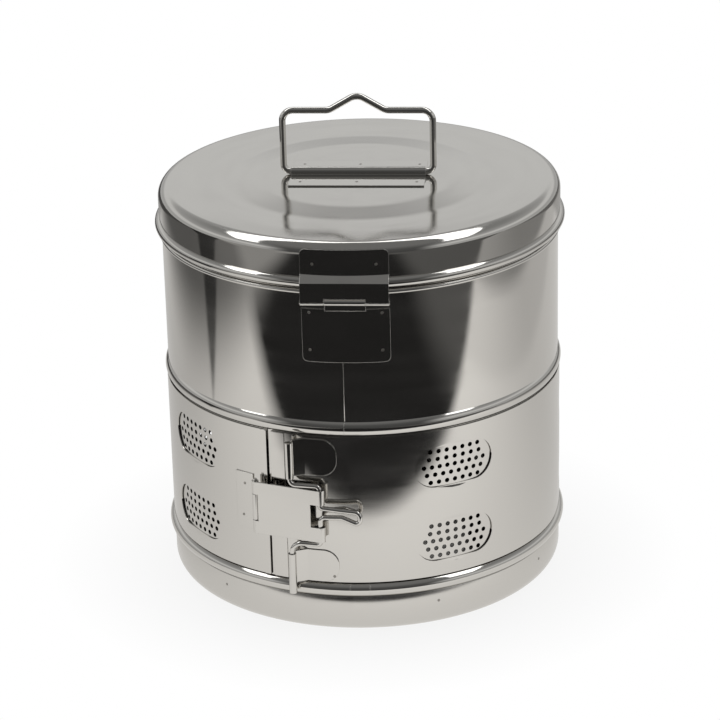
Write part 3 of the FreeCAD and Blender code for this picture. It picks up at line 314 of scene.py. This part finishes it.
inside = under + quarter(LID_R - LID_CORNER, LID_TOP - LID_CORNER, inner_corner, 90, 0, 10)
inside += arc_points((inner_r, RIM_HEIGHT + RIM_HALF_INSIDE), (LID_R + RIM_RISE - LID_SHEET, RIM_HEIGHT),
                     (inner_r, RIM_HEIGHT - RIM_HALF_INSIDE), 14)
inside += [(inner_r, rim_low)]
lid = turned("pressed_lid", outside + inside, FULL_ROUND, buffed_sheet, "lid")
lid.data.materials.append(buffed_lid)
for face in lid.data.polygons:
    if face.center.z > (LID_TOP - TOP_FINISH_DEPTH) * MM:
        face.material_index = 1
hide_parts("lid")
print("lid: %d faces" % len(lid.data.polygons))

# %% [markdown]
# ## A sheet with holes
# The shell and the band are both rolled sheets with openings. On the flat sheet an opening is just a
# loop inside another loop, and Blender's constrained Delaunay triangulation fills the space between. The
# filled piece is then rolled up: its length becomes an angle round the drum. Long
# triangles on a mirror would ripple, so each corner gets the exact outward direction of the round
# sheet as its normal.


# %% Perforated sheet helper
def rolled_patch(outer, inner, middle_deg, half_deg, low, high, step_deg, loops):
    """A rolled rectangle with openings: points, faces. Loops are (across mm, height mm) on the outer face."""
    to_mm = math.radians(1) * outer
    count = max(2, round(2 * half_deg / step_deg))
    side = [-half_deg + 2 * half_deg * i / count for i in range(count + 1)]
    border = [(a * to_mm, low) for a in side] + [(a * to_mm, high) for a in reversed(side)]
    coords, edges, starts = [Vector(p) for p in border], [], []
    edges += [(i, (i + 1) % len(border)) for i in range(len(border))]
    for loop in loops:
        first = len(coords)
        starts.append((first, len(loop)))
        coords += [Vector(p) for p in loop]
        edges += [(first + i, first + (i + 1) % len(loop)) for i in range(len(loop))]
    made, _, faces, *_ = delaunay_2d_cdt(coords, edges, [], 1, 1e-5)
    shapes = [np.array([coords[f + i] for i in range(n)]) for f, n in starts]
    kept = []
    for face in faces:
        centre = sum((made[i] for i in face), Vector((0, 0))) / len(face)
        if not any(inside_loop(centre, shape) for shape in shapes):
            kept.append(tuple(face))
    points, all_faces = [], []
    for radius, flip in ((outer, False), (inner, True)):
        base_index = len(points)
        points += [drum_point(radius, middle_deg + p.x / to_mm, p.y) for p in made]
        all_faces += [tuple(base_index + i for i in (reversed(f) if flip else f)) for f in kept]
    size = len(made)
    for first, n in starts:
        for i in range(n):
            a, b = first + i, first + (i + 1) % n
            all_faces.append((a, b, b + size, a + size))
    return points, all_faces


def inside_loop(point, loop):
    """True if a point lies inside a loop that bulges outwards everywhere."""
    following = np.roll(loop, -1, axis=0)
    edge = following - loop
    to_point = np.array(point) - loop
    cross = edge[:, 0] * to_point[:, 1] - edge[:, 1] * to_point[:, 0]
    return bool(np.all(cross > 0) or np.all(cross < 0))


def circle_loop(cx, cy, radius, count):
    steps = [2 * math.pi * i / count for i in range(count)]
    return [(cx + radius * math.cos(a), cy + radius * math.sin(a)) for a in steps]


def slot_loop(cy, length, width, count=16):
    """A loop with straight sides and half-round ends, centred across."""
    radius = width / 2
    reach = length / 2 - radius
    turns = [math.pi * i / count for i in range(count + 1)]
    right = [(reach + radius * math.sin(a), cy - radius * math.cos(a)) for a in turns]
    left = [(-reach - radius * math.sin(a), cy + radius * math.cos(a)) for a in turns]
    return right + left


PLAIN_FACING = 0.97


def radial_normals(piece):
    """Gives each corner on the plain round faces the exact outward or inward direction."""
    mesh = piece.data
    wanted = []
    for face in mesh.polygons:
        normal = face.normal
        for index in face.loop_indices:
            co = mesh.vertices[mesh.loops[index].vertex_index].co
            out = Vector((co.x, co.y, 0)).normalized()
            facing = normal.x * out.x + normal.y * out.y
            if abs(facing) > PLAIN_FACING:
                wanted.append(out if facing > 0 else -out)
            else:
                wanted.append(mesh.corner_normals[index].vector.copy())
    mesh.normals_split_custom_set(wanted)


print("helpers for sheets with openings are ready")

# %% [markdown]
# ## The shell
# Steam reaches the dressings through ten fields of small holes, five columns of two. Each field has five
# rows; the rows are not quite alike, because the punch was set by hand: 7, 7, 9, 8 and 7 holes. The
# holes here are round with sixteen sides.

# %% Shell
SHELL_R, SHELL_SHEET = 120.0, 0.6
FIRST_WINDOW, WINDOW_PITCH, WINDOWS = 30.4, 69.1, 5
WINDOW_ROWS = (56.2, 104.0)
HOLE_R, HOLE_ROW_PITCH = 1.45, 4.9
HOLE_ROWS = [(7, 5.2), (7, 5.5), (9, 4.9), (8, 5.1), (7, 5.2)]
PATCH_HALF_DEG, FIELD_HALF, ROLL_STEP = 12.0, 13.6, 1.2
PERFORATED_LOW, PERFORATED_HIGH, PLAIN_STRIP_DEG = 34.0, 127.0, 44.6
HOLE_SIDES = 16


def steam_loops(height):
    loops = []
    for row, (count, pitch) in enumerate(HOLE_ROWS):
        up = height + (2 - row) * HOLE_ROW_PITCH
        loops += [circle_loop((i - (count - 1) / 2) * pitch, up, HOLE_R, HOLE_SIDES) for i in range(count)]
    return loops


def windowed_ring(outer, inner, low, high, start_deg, sweep_deg, half_deg, zone_half, make_loops):
    """A ring of sheet with the windows' patches let into it."""
    points, faces = [], []

    def take(new_points, new_faces):
        first = len(points)
        points.extend(new_points)
        faces.extend(tuple(first + i for i in f) for f in new_faces)

    middles = [FIRST_WINDOW + WINDOW_PITCH * i for i in range(WINDOWS)]
    rows = [low]
    for height in WINDOW_ROWS:
        rows += [height - zone_half, height + zone_half]
    rows.append(high)
    cuts = [start_deg]
    for middle in middles:
        cuts += [middle - half_deg, middle + half_deg]
    cuts.append(start_deg + sweep_deg)
    for index in range(len(cuts) - 1):
        a0, a1 = cuts[index], cuts[index + 1]
        is_window = index % 2 == 1
        steps = max(2, round((a1 - a0) / ROLL_STEP))
        angles = [a0 + (a1 - a0) * i / steps for i in range(steps + 1)]
        for level in range(len(rows) - 1):
            z0, z1 = rows[level], rows[level + 1]
            if is_window and level % 2 == 1:
                height = WINDOW_ROWS[level // 2]
                take(*rolled_patch(outer, inner, (a0 + a1) / 2, half_deg, z0, z1, ROLL_STEP, make_loops(height)))
                continue
            for radius in (outer, inner):
                grid = [drum_point(radius, a, z) for a in angles for z in (z0, z1)]
                take(grid, [(2 * i, 2 * i + 2, 2 * i + 3, 2 * i + 1) for i in range(steps)])
    return points, faces


def ring_edges(outer, inner, height, angles):
    points = [drum_point(r, a, height) for a in angles for r in (outer, inner)]
    return points, [(2 * i, 2 * i + 1, 2 * i + 3, 2 * i + 2) for i in range(len(angles) - 1)]


low_bead = arc_points((SHELL_R, 24.6), (123.5, 28.9), (SHELL_R, 33.2), 20)
low_bead_in = arc_points((119.4, 32.68), (122.9, 28.9), (119.4, 25.12), 16)
mid_bead = arc_points((SHELL_R, 127.9), (121.8, 132.3), (SHELL_R, 136.7), 20)
mid_bead_in = arc_points((119.4, 136.45), (121.2, 132.3), (119.4, 128.15), 16)
stop_bead = arc_points((SHELL_R, 215.7), (121.3, 217.2), (SHELL_R, 218.7), 10)
ring_points, ring_faces = windowed_ring(
    SHELL_R, SHELL_R - SHELL_SHEET, PERFORATED_LOW, PERFORATED_HIGH,
    FIRST_WINDOW - PATCH_HALF_DEG - PLAIN_STRIP_DEG, 360.0, PATCH_HALF_DEG, FIELD_HALF, steam_loops)
perforated = new_mesh("perforated_shell", ring_points, ring_faces, buffed_sheet, "drum")
radial_normals(perforated)
# the inner faces take the dark tint, painted shade inside the closed drum that shows through the holes
perforated.data.materials.append(shaded_shell_inside)
for face in perforated.data.polygons:
    if math.hypot(face.center.x, face.center.y) < (SHELL_R - SHELL_SHEET / 2) * MM:
        face.material_index = 1
lower_profile = [(119.4, 11), (SHELL_R, 11)] + low_bead
lower_profile += [(SHELL_R, PERFORATED_LOW), (119.4, PERFORATED_LOW)] + low_bead_in
lower_shell = turned("lower_shell", lower_profile, FULL_ROUND, buffed_sheet, "drum")
upper_profile = [(119.4, PERFORATED_HIGH), (SHELL_R, PERFORATED_HIGH)] + mid_bead + stop_bead
upper_profile += [(119.2, 219.9), (119.2, 228.8), (119.0, 229.0), (118.6, 229.0), (118.6, 219.9), (119.4, 218.7)]
upper_profile += mid_bead_in
upper_shell = turned("upper_shell", upper_profile, FULL_ROUND, buffed_sheet, "drum")
for piece in (perforated, lower_shell, upper_shell):
    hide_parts("drum_shell")
hole_count = sum(count for count, _ in HOLE_ROWS) * len(WINDOW_ROWS) * WINDOWS
print("perforated ring: %d faces, %d holes" % (len(perforated.data.polygons), hole_count))

# %% [markdown]
# ## The turning band
# The band is an open ring: a slot is left between its two ends, and both ends are folded back on themselves, which
# makes the two raised strips beside the slot. Its windows are blanked out with one punch, so they are all alike.

# %% Band
BAND_IN, BAND_OUT, HEM_OUT = 120.4, 121.0, 121.5
BAND_LOW, BAND_HIGH = 33.8, 127.3
BAND_EDGE, BAND_GAP = -22.7, 1.3
RIGHT_HEM, LEFT_HEM = 4.2, 1.8
WINDOW_LENGTH, WINDOW_WIDTH = 51.5, 25.5
WINDOW_HALF_DEG, WINDOW_ZONE_HALF = 14.4, 14.5
band_points, band_faces = windowed_ring(
    BAND_OUT, BAND_IN, BAND_LOW, BAND_HIGH, BAND_EDGE, 360.0 - BAND_GAP, WINDOW_HALF_DEG,
    WINDOW_ZONE_HALF, lambda height: [slot_loop(height, WINDOW_LENGTH, WINDOW_WIDTH)])
for edge_height in (BAND_LOW, BAND_HIGH):
    edge_angles = even_angles(BAND_EDGE, 360.0 - BAND_GAP, ROLL_STEP)
    more_points, more_faces = ring_edges(BAND_OUT, BAND_IN, edge_height, edge_angles)
    offset = len(band_points)
    band_points += more_points
    band_faces += [tuple(offset + i for i in f) for f in more_faces]
band = new_mesh("shutter_band", band_points, band_faces, brushed_band, "band")
radial_normals(band)


def hem(name, start, sweep):
    """A folded end: the sheet turned back on itself, with a rounded outer edge."""
    profile = [(BAND_OUT, BAND_LOW), (HEM_OUT - 0.1, BAND_LOW), (HEM_OUT, BAND_LOW + 0.15),
               (HEM_OUT, BAND_HIGH - 0.15), (HEM_OUT - 0.1, BAND_HIGH), (BAND_OUT, BAND_HIGH)]
    piece = turned(name, profile, even_angles(start, sweep, 0.5), brushed_band, "band")
    bevel = piece.modifiers.new("rounded fold", "BEVEL")
    bevel.width = 0.12 * MM
    bevel.segments = 3
    bevel.limit_method = "ANGLE"
    return piece


right_hem = hem("right_band_hem", BAND_EDGE, RIGHT_HEM)
left_hem = hem("left_band_hem", BAND_EDGE - BAND_GAP - LEFT_HEM, LEFT_HEM)
for piece in (band, right_hem, left_hem):
    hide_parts("sliding_band")
print("band: %d faces" % len(band.data.polygons))

# %% [markdown]
# ## The two wires
# The handle and the toggle lever are each bent from one wire. The path is drawn flat, as a run of corners with
# a bend radius each, the way a wire bender sets it up, and a ring of points follows it. The wire's cut ends
# are broken by a quarter of a millimetre, as a file leaves them.


# %% Wires
END_BREAK, WIRE_SIDES, BEND_STEP_DEG = 0.25, 28, 6


def wire_path(corners):
    """Points and directions along a flat run of straight lines with a round bend at each inner corner."""
    points = [Vector(c[:2]) for c in corners]
    path = [(points[0], (points[1] - points[0]).normalized())]
    for before, corner, after, bend in zip(points, points[1:], points[2:], corners[1:]):
        incoming, outgoing = (corner - before).normalized(), (after - corner).normalized()
        turn = incoming.angle_signed(outgoing)
        trim = bend[2] * math.tan(abs(turn) / 2)
        side = Vector((-incoming.y, incoming.x)) * (-1 if turn > 0 else 1)
        centre = corner - incoming * trim + side * bend[2]
        steps = max(2, math.ceil(abs(math.degrees(turn)) / BEND_STEP_DEG))
        for i in range(steps + 1):
            share = -turn * i / steps
            reach = Matrix.Rotation(share, 2) @ (-side * bend[2])
            path.append((centre + reach, (Matrix.Rotation(share, 2) @ incoming).normalized()))
    path.append((points[-1], (points[-1] - points[-2]).normalized()))
    return path


def wire(name, corners, radius, origin, across, body, node):
    """A round wire along a flat path; across is the direction of the path's first axis."""
    across = Vector(across).normalized()
    up = Vector((0, 0, 1))
    sideways = across.cross(up)
    path = wire_path(corners)
    first, last = path[0], path[-1]
    rings = [(first[0], first[1], radius - END_BREAK), (first[0] + first[1] * END_BREAK, first[1], radius)]
    rings += [(point, way, radius) for point, way in path[1:-1]]
    rings += [(last[0] - last[1] * END_BREAK, last[1], radius), (last[0], last[1], radius - END_BREAK)]
    count = WIRE_SIDES
    points, faces = [], []
    for point, way, reach in rings:
        middle = Vector(origin) * MM + (across * point.x + up * point.y) * MM
        normal = across * -way.y + up * way.x
        for i in range(count):
            a = 2 * math.pi * i / count
            points.append(middle + (normal * math.cos(a) + sideways * math.sin(a)) * reach * MM)
    for ring in range(len(rings) - 1):
        for i in range(count):
            j = (i + 1) % count
            faces.append((ring * count + i, ring * count + j, (ring + 1) * count + j, (ring + 1) * count + i))
    faces += [tuple(reversed(range(count))), tuple(range(len(points) - count, len(points)))]
    piece = new_mesh(name, points, faces, drawn_wire, body, sharp_deg=50)
    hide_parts(node)
    return piece


HANDLE_AXIS_Z, HANDLE_WIRE_R, LEVER_WIRE_R = 249.98, 2.0, 1.5
wire("bent_handle", [(-26, 0), (-45.2, 0, 4.4), (-45.2, 38.2, 6.5), (-17, 38.2, 8), (0, 48.1, 8), (17, 38.2, 8),
                     (45.2, 38.2, 6.5), (45.2, 0, 4.4), (26, 0)], HANDLE_WIRE_R,
     (0, 0, HANDLE_AXIS_Z), (1, 0, 0), "handle", "lid_handle")
PIVOT_RADIUS, PIVOT_DEG, CRANK_DEG = 126.8, -16.1, -9.9
pivot = drum_point(PIVOT_RADIUS, PIVOT_DEG, 0) / MM
crank_way = (math.cos(math.radians(CRANK_DEG)), math.sin(math.radians(CRANK_DEG)), 0)
wire("bent_lever", [(0, 122.9), (0, 97.8, 3.4), (17.8, 97.8, 2.6), (17.8, 84.0, 2.2), (31, 83.3, 5),
                    (42, 83.0, 3.4), (42, 74.9, 2.6), (31, 78.9, 5), (17.8, 77.9, 3.2), (17.8, 60.2, 2.6),
                    (0, 60.2, 6.5), (0, 28.9)], LEVER_WIRE_R, pivot, crank_way, "lever", "toggle_lever")
print("handle and lever are bent")

# %% [markdown]
# ## Small parts
# The hinge, the clamp, the leaves and the pins keep their solids: their shapes are already right, and only need
# the finish of their sheet or wire. Most leaves are cut from mirror-bright strip; the clamp's own leaf and plate
# are a little duller from the press.

# %% Finishes of the small parts
FINISHES = {
    "hinge_lid_leaf": mirror_leaf, "hinge_body_leaf": mirror_leaf, "hinge_pin": drawn_wire,
    "handle_bracket": mirror_leaf,
    "clamp_leaf": pressed_plate, "clamp_pin": drawn_wire, "clamp_plate": pressed_plate,
    "upper_lever_leaf": mirror_leaf, "lower_lever_leaf": mirror_leaf,
}
for node_name, finish in FINISHES.items():
    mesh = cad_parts[node_name].data
    mesh.materials.clear()
    mesh.materials.append(finish)
print("finished %d small parts" % len(FINISHES))

# %% [markdown]
# ## Weld spots
# Every leaf is held by spot welds. A spot weld leaves a shallow, slightly dull dimple about two millimetres wide,
# with a thin raised rim. A low ring and a disc inside it give both.


# %% Weld spots
def weld(name, place, outward, body, radius=0.9):
    """A dimple with a rim, lying on a surface; sizes in millimetres."""
    rings = [(0.0, 0.02), (0.5, 0.03), (0.8, 0.06), (0.92, 0.1), (1.0, 0.0)]
    count = 20
    points, faces = [], []
    turn = outward.to_track_quat("Z", "Y").to_matrix()
    for share, lift in rings:
        for i in range(count):
            a = 2 * math.pi * i / count
            flat = Vector((share * radius * math.cos(a), share * radius * math.sin(a), lift)) * MM
            points.append(place + turn @ flat)
    for ring in range(len(rings) - 1):
        for i in range(count):
            j = (i + 1) % count
            faces.append((ring * count + i, ring * count + j, (ring + 1) * count + j, (ring + 1) * count + i))
    piece = new_mesh(name, points, faces, weld_spot, body, sharp_deg=80)
    return piece


# name, distance from the axis, angle round the drum, height, body
ROUND_WELDS = [
    ("hinge_weld_a", 120.8, -10.0, 204.6, "drum"), ("hinge_weld_b", 120.8, 10.0, 204.6, "drum"),
    ("hinge_weld_c", 120.8, -10.0, 181.7, "drum"), ("hinge_weld_d", 120.8, 10.0, 181.7, "drum"),
    ("lid_weld_a", 122.2, -8.6, 234.8, "lid"), ("lid_weld_b", 122.2, 8.6, 234.8, "lid"),
    ("clamp_weld_a", 121.8, -31.6, 90.1, "band"), ("clamp_weld_b", 121.8, -32.4, 69.4, "band"),
    ("lever_weld", 121.8, -4.9, 37.9, "band"),
]
BASE_WELDS = (-80.7, -40.8, 24.7, 64.6, 104.6, 144.6, 184.6, 224.6)
ROUND_WELDS += [("base_weld_%d" % i, 120.7, angle, 17.0, "drum") for i, angle in enumerate(BASE_WELDS)]
for weld_name, weld_r, weld_a, weld_z, weld_body in ROUND_WELDS:
    spot = drum_point(weld_r, weld_a, weld_z)
    weld(weld_name, spot, Vector((spot.x, spot.y, 0)).normalized(), weld_body)
BRACKET_WELDS_X, BRACKET_WELD_Y, BRACKET_TOP = (-34.0, 0.0, 36.0), 16.7, 248.7
for index, x in enumerate(BRACKET_WELDS_X):
    for side in (-1, 1):
        weld("bracket_weld_%d_%s" % (index, "front" if side < 0 else "back"),
             Vector((x, side * BRACKET_WELD_Y, BRACKET_TOP)) * MM, Vector((0, 0, 1)), "lid")
print("weld spots: %d" % (len(ROUND_WELDS) + 2 * len(BRACKET_WELDS_X)))

# %% [markdown]
# ## The lap seam
# The shell is rolled from a strip, and its ends meet in a lap under the hinge. Only the edge of the upper
# layer shows: a hair-thin bright line from the hinge down to the bead, and a small step across each bead.

# %% Lap seam
SEAM_DEG, MID_JOINT_DEG, LOW_JOINTS_DEG = -1.0, -1.2, (-0.6, 4.9)
seam_profile = [(SHELL_R - 0.02, 137.0), (SHELL_R + 0.16, 137.4), (SHELL_R + 0.16, 173.6), (SHELL_R - 0.02, 174.2)]
seam = turned("lap_seam", seam_profile, even_angles(SEAM_DEG - 0.1, 0.2, 0.05), pressed_plate, "drum")


def bead_joint(name, crest, angle_deg):
    """The thin step that the lap leaves across a bead."""
    outer = [(r + 0.12, z) for r, z in crest]
    inner = [(r - 0.3, z) for r, z in reversed(crest)]
    joint = turned(name, outer + inner, even_angles(angle_deg - 0.11, 0.22, 0.11), pressed_plate, "drum")


bead_joint("mid_bead_joint", mid_bead, MID_JOINT_DEG)
bead_joint("low_bead_joint_a", low_bead, LOW_JOINTS_DEG[0])
bead_joint("low_bead_joint_b", low_bead, LOW_JOINTS_DEG[1])
print("seam at %.1f degrees" % SEAM_DEG)

# %% [markdown]
# ## The studio
# A mirror shows the room. The photograph was taken on a sheet of white paper that ends some fifteen
# centimetres in front of the drum; beyond it the room is dark. The walls of the drum throw the view down and
# forwards, so they show the near paper low down and the dark room above it: that is the big dark shape on the
# front. Towards its left and right ends the paper gets darker, with one narrow dark streak on the left. So the
# floor has two looks. To the camera it is plain white paper with a soft shadow, and to the metal it is the
# paper with its edges and the dark room.

# %% Floor
FLOOR_SIZE = 12.0
floor_mesh = bpy.data.meshes.new("paper_floor")
half = FLOOR_SIZE / 2
floor_mesh.from_pydata([(-half, -half, 0), (half, -half, 0), (half, half, 0), (-half, half, 0)], [], [(0, 1, 2, 3)])
floor = bpy.data.objects.new("paper_floor", floor_mesh)
floor.location.z = -0.0002
scene.collection.objects.link(floor)

paper = bpy.data.materials.new("studio_paper")
paper.use_nodes = True
tree = paper.node_tree
tree.nodes.clear()
spot = add(tree, "ShaderNodeTexCoord")
axes = add(tree, "ShaderNodeSeparateXYZ", links={0: spot.outputs["Object"]})


def calculate(operation, first, second=None, clamp=False):
    """One step of arithmetic on two inputs, each a socket or a number."""
    values, links = {}, {}
    for index, value in enumerate((first, second)):
        if value is None:
            continue
        if isinstance(value, bpy.types.NodeSocket):
            links[index] = value
        else:
            values[index] = value
    return add(tree, "ShaderNodeMath", values, links, operation=operation, use_clamp=clamp).outputs[0]


def soft_step(value, start, end, low, high):
    """Runs smoothly from one level to another as a value goes from start to end."""
    return add(tree, "ShaderNodeMapRange", {"From Min": start, "From Max": end, "To Min": low, "To Max": high},
               {"Value": value}, interpolation_type="SMOOTHSTEP").outputs["Result"]


# places are metres from the drum's axis: where a change starts, where it ends, and the level at each
PAPER_FRONT, SLANT_RIGHT, SLANT_LEFT = 0.275, 0.03, 0.045
EDGE_BLUR, EDGE_BLUR_LEFT = 0.03, 0.1
ROOM_LEFT, ROOM_RIGHT = (-0.43, -0.6, 0.018, 0.33), (0.3, 0.46, 0.0, 0.09)
PAPER_DEPTH, PAPER_TILT = (-0.32, 0.16, 0.96, 0.62), (-0.4, 0.3, 0.93, 1.06)
SIDE_FADES = [(-0.38, -0.65, 1.0, 0.2), (0.42, 0.48, 1.0, 0.86), (0.6, 0.66, 1.0, 0.46)]
BACK_FADE = (0.56, 0.62, 1.0, 0.6)
STREAK_TIP, STREAK_Y, STREAK_SPREAD, STREAK_EDGE = 0.41, 0.06, 0.24, (-0.012, 0.012, 0.25, 1.0)

# To the metal the floor glows, and the glow is painted light: the lit paper, darker towards its ends and back and
# along a narrow streak, and the dark room past its front edge.
floor_x, floor_y = axes.outputs["X"], axes.outputs["Y"]
leftwards = calculate("MAXIMUM", calculate("MULTIPLY", floor_x, -1.0), 0.0)
front_edge = calculate("SUBTRACT", calculate("MULTIPLY", floor_x, SLANT_RIGHT),
                       calculate("ADD", calculate("MULTIPLY", leftwards, SLANT_LEFT), PAPER_FRONT))
softness = calculate("ADD", calculate("MULTIPLY", leftwards, EDGE_BLUR_LEFT), EDGE_BLUR)
beyond_edge = calculate("DIVIDE", calculate("SUBTRACT", front_edge, floor_y), softness, clamp=True)
room_level = calculate("ADD", soft_step(floor_x, *ROOM_LEFT), soft_step(floor_x, *ROOM_RIGHT))
paper_level = calculate("MULTIPLY", soft_step(floor_y, *PAPER_DEPTH), soft_step(floor_x, *PAPER_TILT))
for side_fade in SIDE_FADES:
    paper_level = calculate("MULTIPLY", paper_level, soft_step(floor_x, *side_fade))
paper_level = calculate("MULTIPLY", paper_level, soft_step(floor_y, *BACK_FADE))
streak_half = calculate("MULTIPLY", calculate("ADD", floor_x, STREAK_TIP), -STREAK_SPREAD)
off_streak = calculate("SUBTRACT", calculate("ABSOLUTE", calculate("ADD", floor_y, STREAK_Y)), streak_half)
paper_level = calculate("MULTIPLY", paper_level, soft_step(off_streak, *STREAK_EDGE))
glow = calculate("ADD", calculate("MULTIPLY", paper_level, calculate("SUBTRACT", 1.0, beyond_edge)),
                 calculate("MULTIPLY", room_level, beyond_edge))
seen_by_metal = add(tree, "ShaderNodeEmission", {"Color": linear("#FFFDFA")}, {"Strength": glow})
matt = add(tree, "ShaderNodeBsdfDiffuse", {"Color": linear("#F4F4F4")})
white = add(tree, "ShaderNodeEmission", {"Color": linear("#FFFFFF"), "Strength": 1.0})
distance = add(tree, "ShaderNodeVectorMath", links={0: spot.outputs["Object"]}, operation="LENGTH")
SHADOW_FADE = {"From Min": 0.118, "From Max": 0.2, "To Min": 0.86, "To Max": 1.0}
fade = add(tree, "ShaderNodeMapRange", SHADOW_FADE, {"Value": distance.outputs["Value"]})
seen_by_camera = add(tree, "ShaderNodeMixShader", links={0: fade.outputs["Result"], 1: matt.outputs[0],
                                                         2: white.outputs[0]})
path = add(tree, "ShaderNodeLightPath")
look = add(tree, "ShaderNodeMixShader", links={0: path.outputs["Is Glossy Ray"], 1: seen_by_camera.outputs[0],
                                               2: seen_by_metal.outputs[0]})
add(tree, "ShaderNodeOutputMaterial", links={"Surface": look.outputs[0]})
floor_mesh.materials.append(paper)
print("floor: %.0f m square" % FLOOR_SIZE)

# %% [markdown]
# ## The room and the lamps
# The lid looks up, and shows the wall behind the table. That wall is palest at the height that the flat lid
# mirrors and darker above and below it, so the slope of the pressed ring, which mirrors another height, stands
# out grey. In front and overhead the room is dark, which gives the wires and the beads their dark cores. Two long
# lamps hang level at the left and the right; they are the two white arcs on the lid's shoulder.

# %% World
world = bpy.data.worlds.new("pale_room")
scene.world = world
world.use_nodes = True
tree = world.node_tree
tree.nodes.clear()
sky = add(tree, "ShaderNodeTexCoord")
sky_axes = add(tree, "ShaderNodeSeparateXYZ", links={0: sky.outputs["Generated"]})
sky_x, sky_y, sky_z = [sky_axes.outputs[name] for name in ("X", "Y", "Z")]


def wall_levels(steps):
    """Grey levels of the room over the height of the looking direction, from level to straight up."""
    ramp = add(tree, "ShaderNodeValToRGB", links={"Fac": sky_z})
    while len(ramp.color_ramp.elements) < len(steps):
        ramp.color_ramp.elements.new(0.5)
    for element, (height, level) in zip(ramp.color_ramp.elements, steps):
        element.position = height
        element.color = (level, level, level * 0.99, 1)
    return ramp.outputs["Color"]


BACK_LEVELS = [(0.0, 0.5), (0.17, 0.46), (0.25, 0.7), (0.37, 0.7), (0.44, 0.44), (0.7, 0.28), (1.0, 0.2)]
FRONT_LEVELS = [(0.0, 0.07), (0.45, 0.1), (0.8, 0.2)]
FRONT_TURN, SIDE_TURN = (0.15, -0.2, 0.0, 1.0), (0.55, 0.8, 1.0, 0.0)
back_wall, front_wall = wall_levels(BACK_LEVELS), wall_levels(FRONT_LEVELS)
is_front = calculate("MULTIPLY", soft_step(sky_y, *FRONT_TURN), soft_step(calculate("ABSOLUTE", sky_x), *SIDE_TURN))
room = add(tree, "ShaderNodeMixRGB", links={"Fac": is_front, "Color1": back_wall, "Color2": front_wall})
wall = add(tree, "ShaderNodeBackground", {"Strength": 1.0}, {"Color": room.outputs["Color"]})
blank = add(tree, "ShaderNodeBackground", {"Color": (1, 1, 1, 1), "Strength": 1.0})
path = add(tree, "ShaderNodeLightPath")
mixed = add(tree, "ShaderNodeMixShader", links={0: path.outputs["Is Camera Ray"], 1: wall.outputs[0],
                                                2: blank.outputs[0]})
add(tree, "ShaderNodeOutputWorld", links={"Surface": mixed.outputs[0]})
print("world: pale grey to the metal, white to the camera")


# %% Lamps
def soft_box(name, place, turn_deg, width, length, watts):
    """A long lamp that hangs level over the table and shines straight down."""
    lamp = bpy.data.lights.new(name, "AREA")
    lamp.shape = "RECTANGLE"
    lamp.size, lamp.size_y, lamp.energy = width, length, watts
    made = bpy.data.objects.new(name, lamp)
    made.location = place
    made.rotation_euler = (0, 0, math.radians(turn_deg))
    scene.collection.objects.link(made)
    return made


LAMP_WIDTH, LAMP_LENGTH, LAMP_TURN_DEG, LAMP_WATTS = 0.5, 2.2, 42.0, 8.0
soft_box("soft_box_left", (-0.9, 0.15, 1.5), -LAMP_TURN_DEG, LAMP_WIDTH, LAMP_LENGTH, LAMP_WATTS)
soft_box("soft_box_right", (0.8, 0.1, 1.5), LAMP_TURN_DEG, LAMP_WIDTH, LAMP_LENGTH, LAMP_WATTS)
print("two long soft boxes")

# %% [markdown]
# ## The last step
# The last step brings the scene's view layer up to date.

# %% Update the scene
bpy.context.view_layer.update()
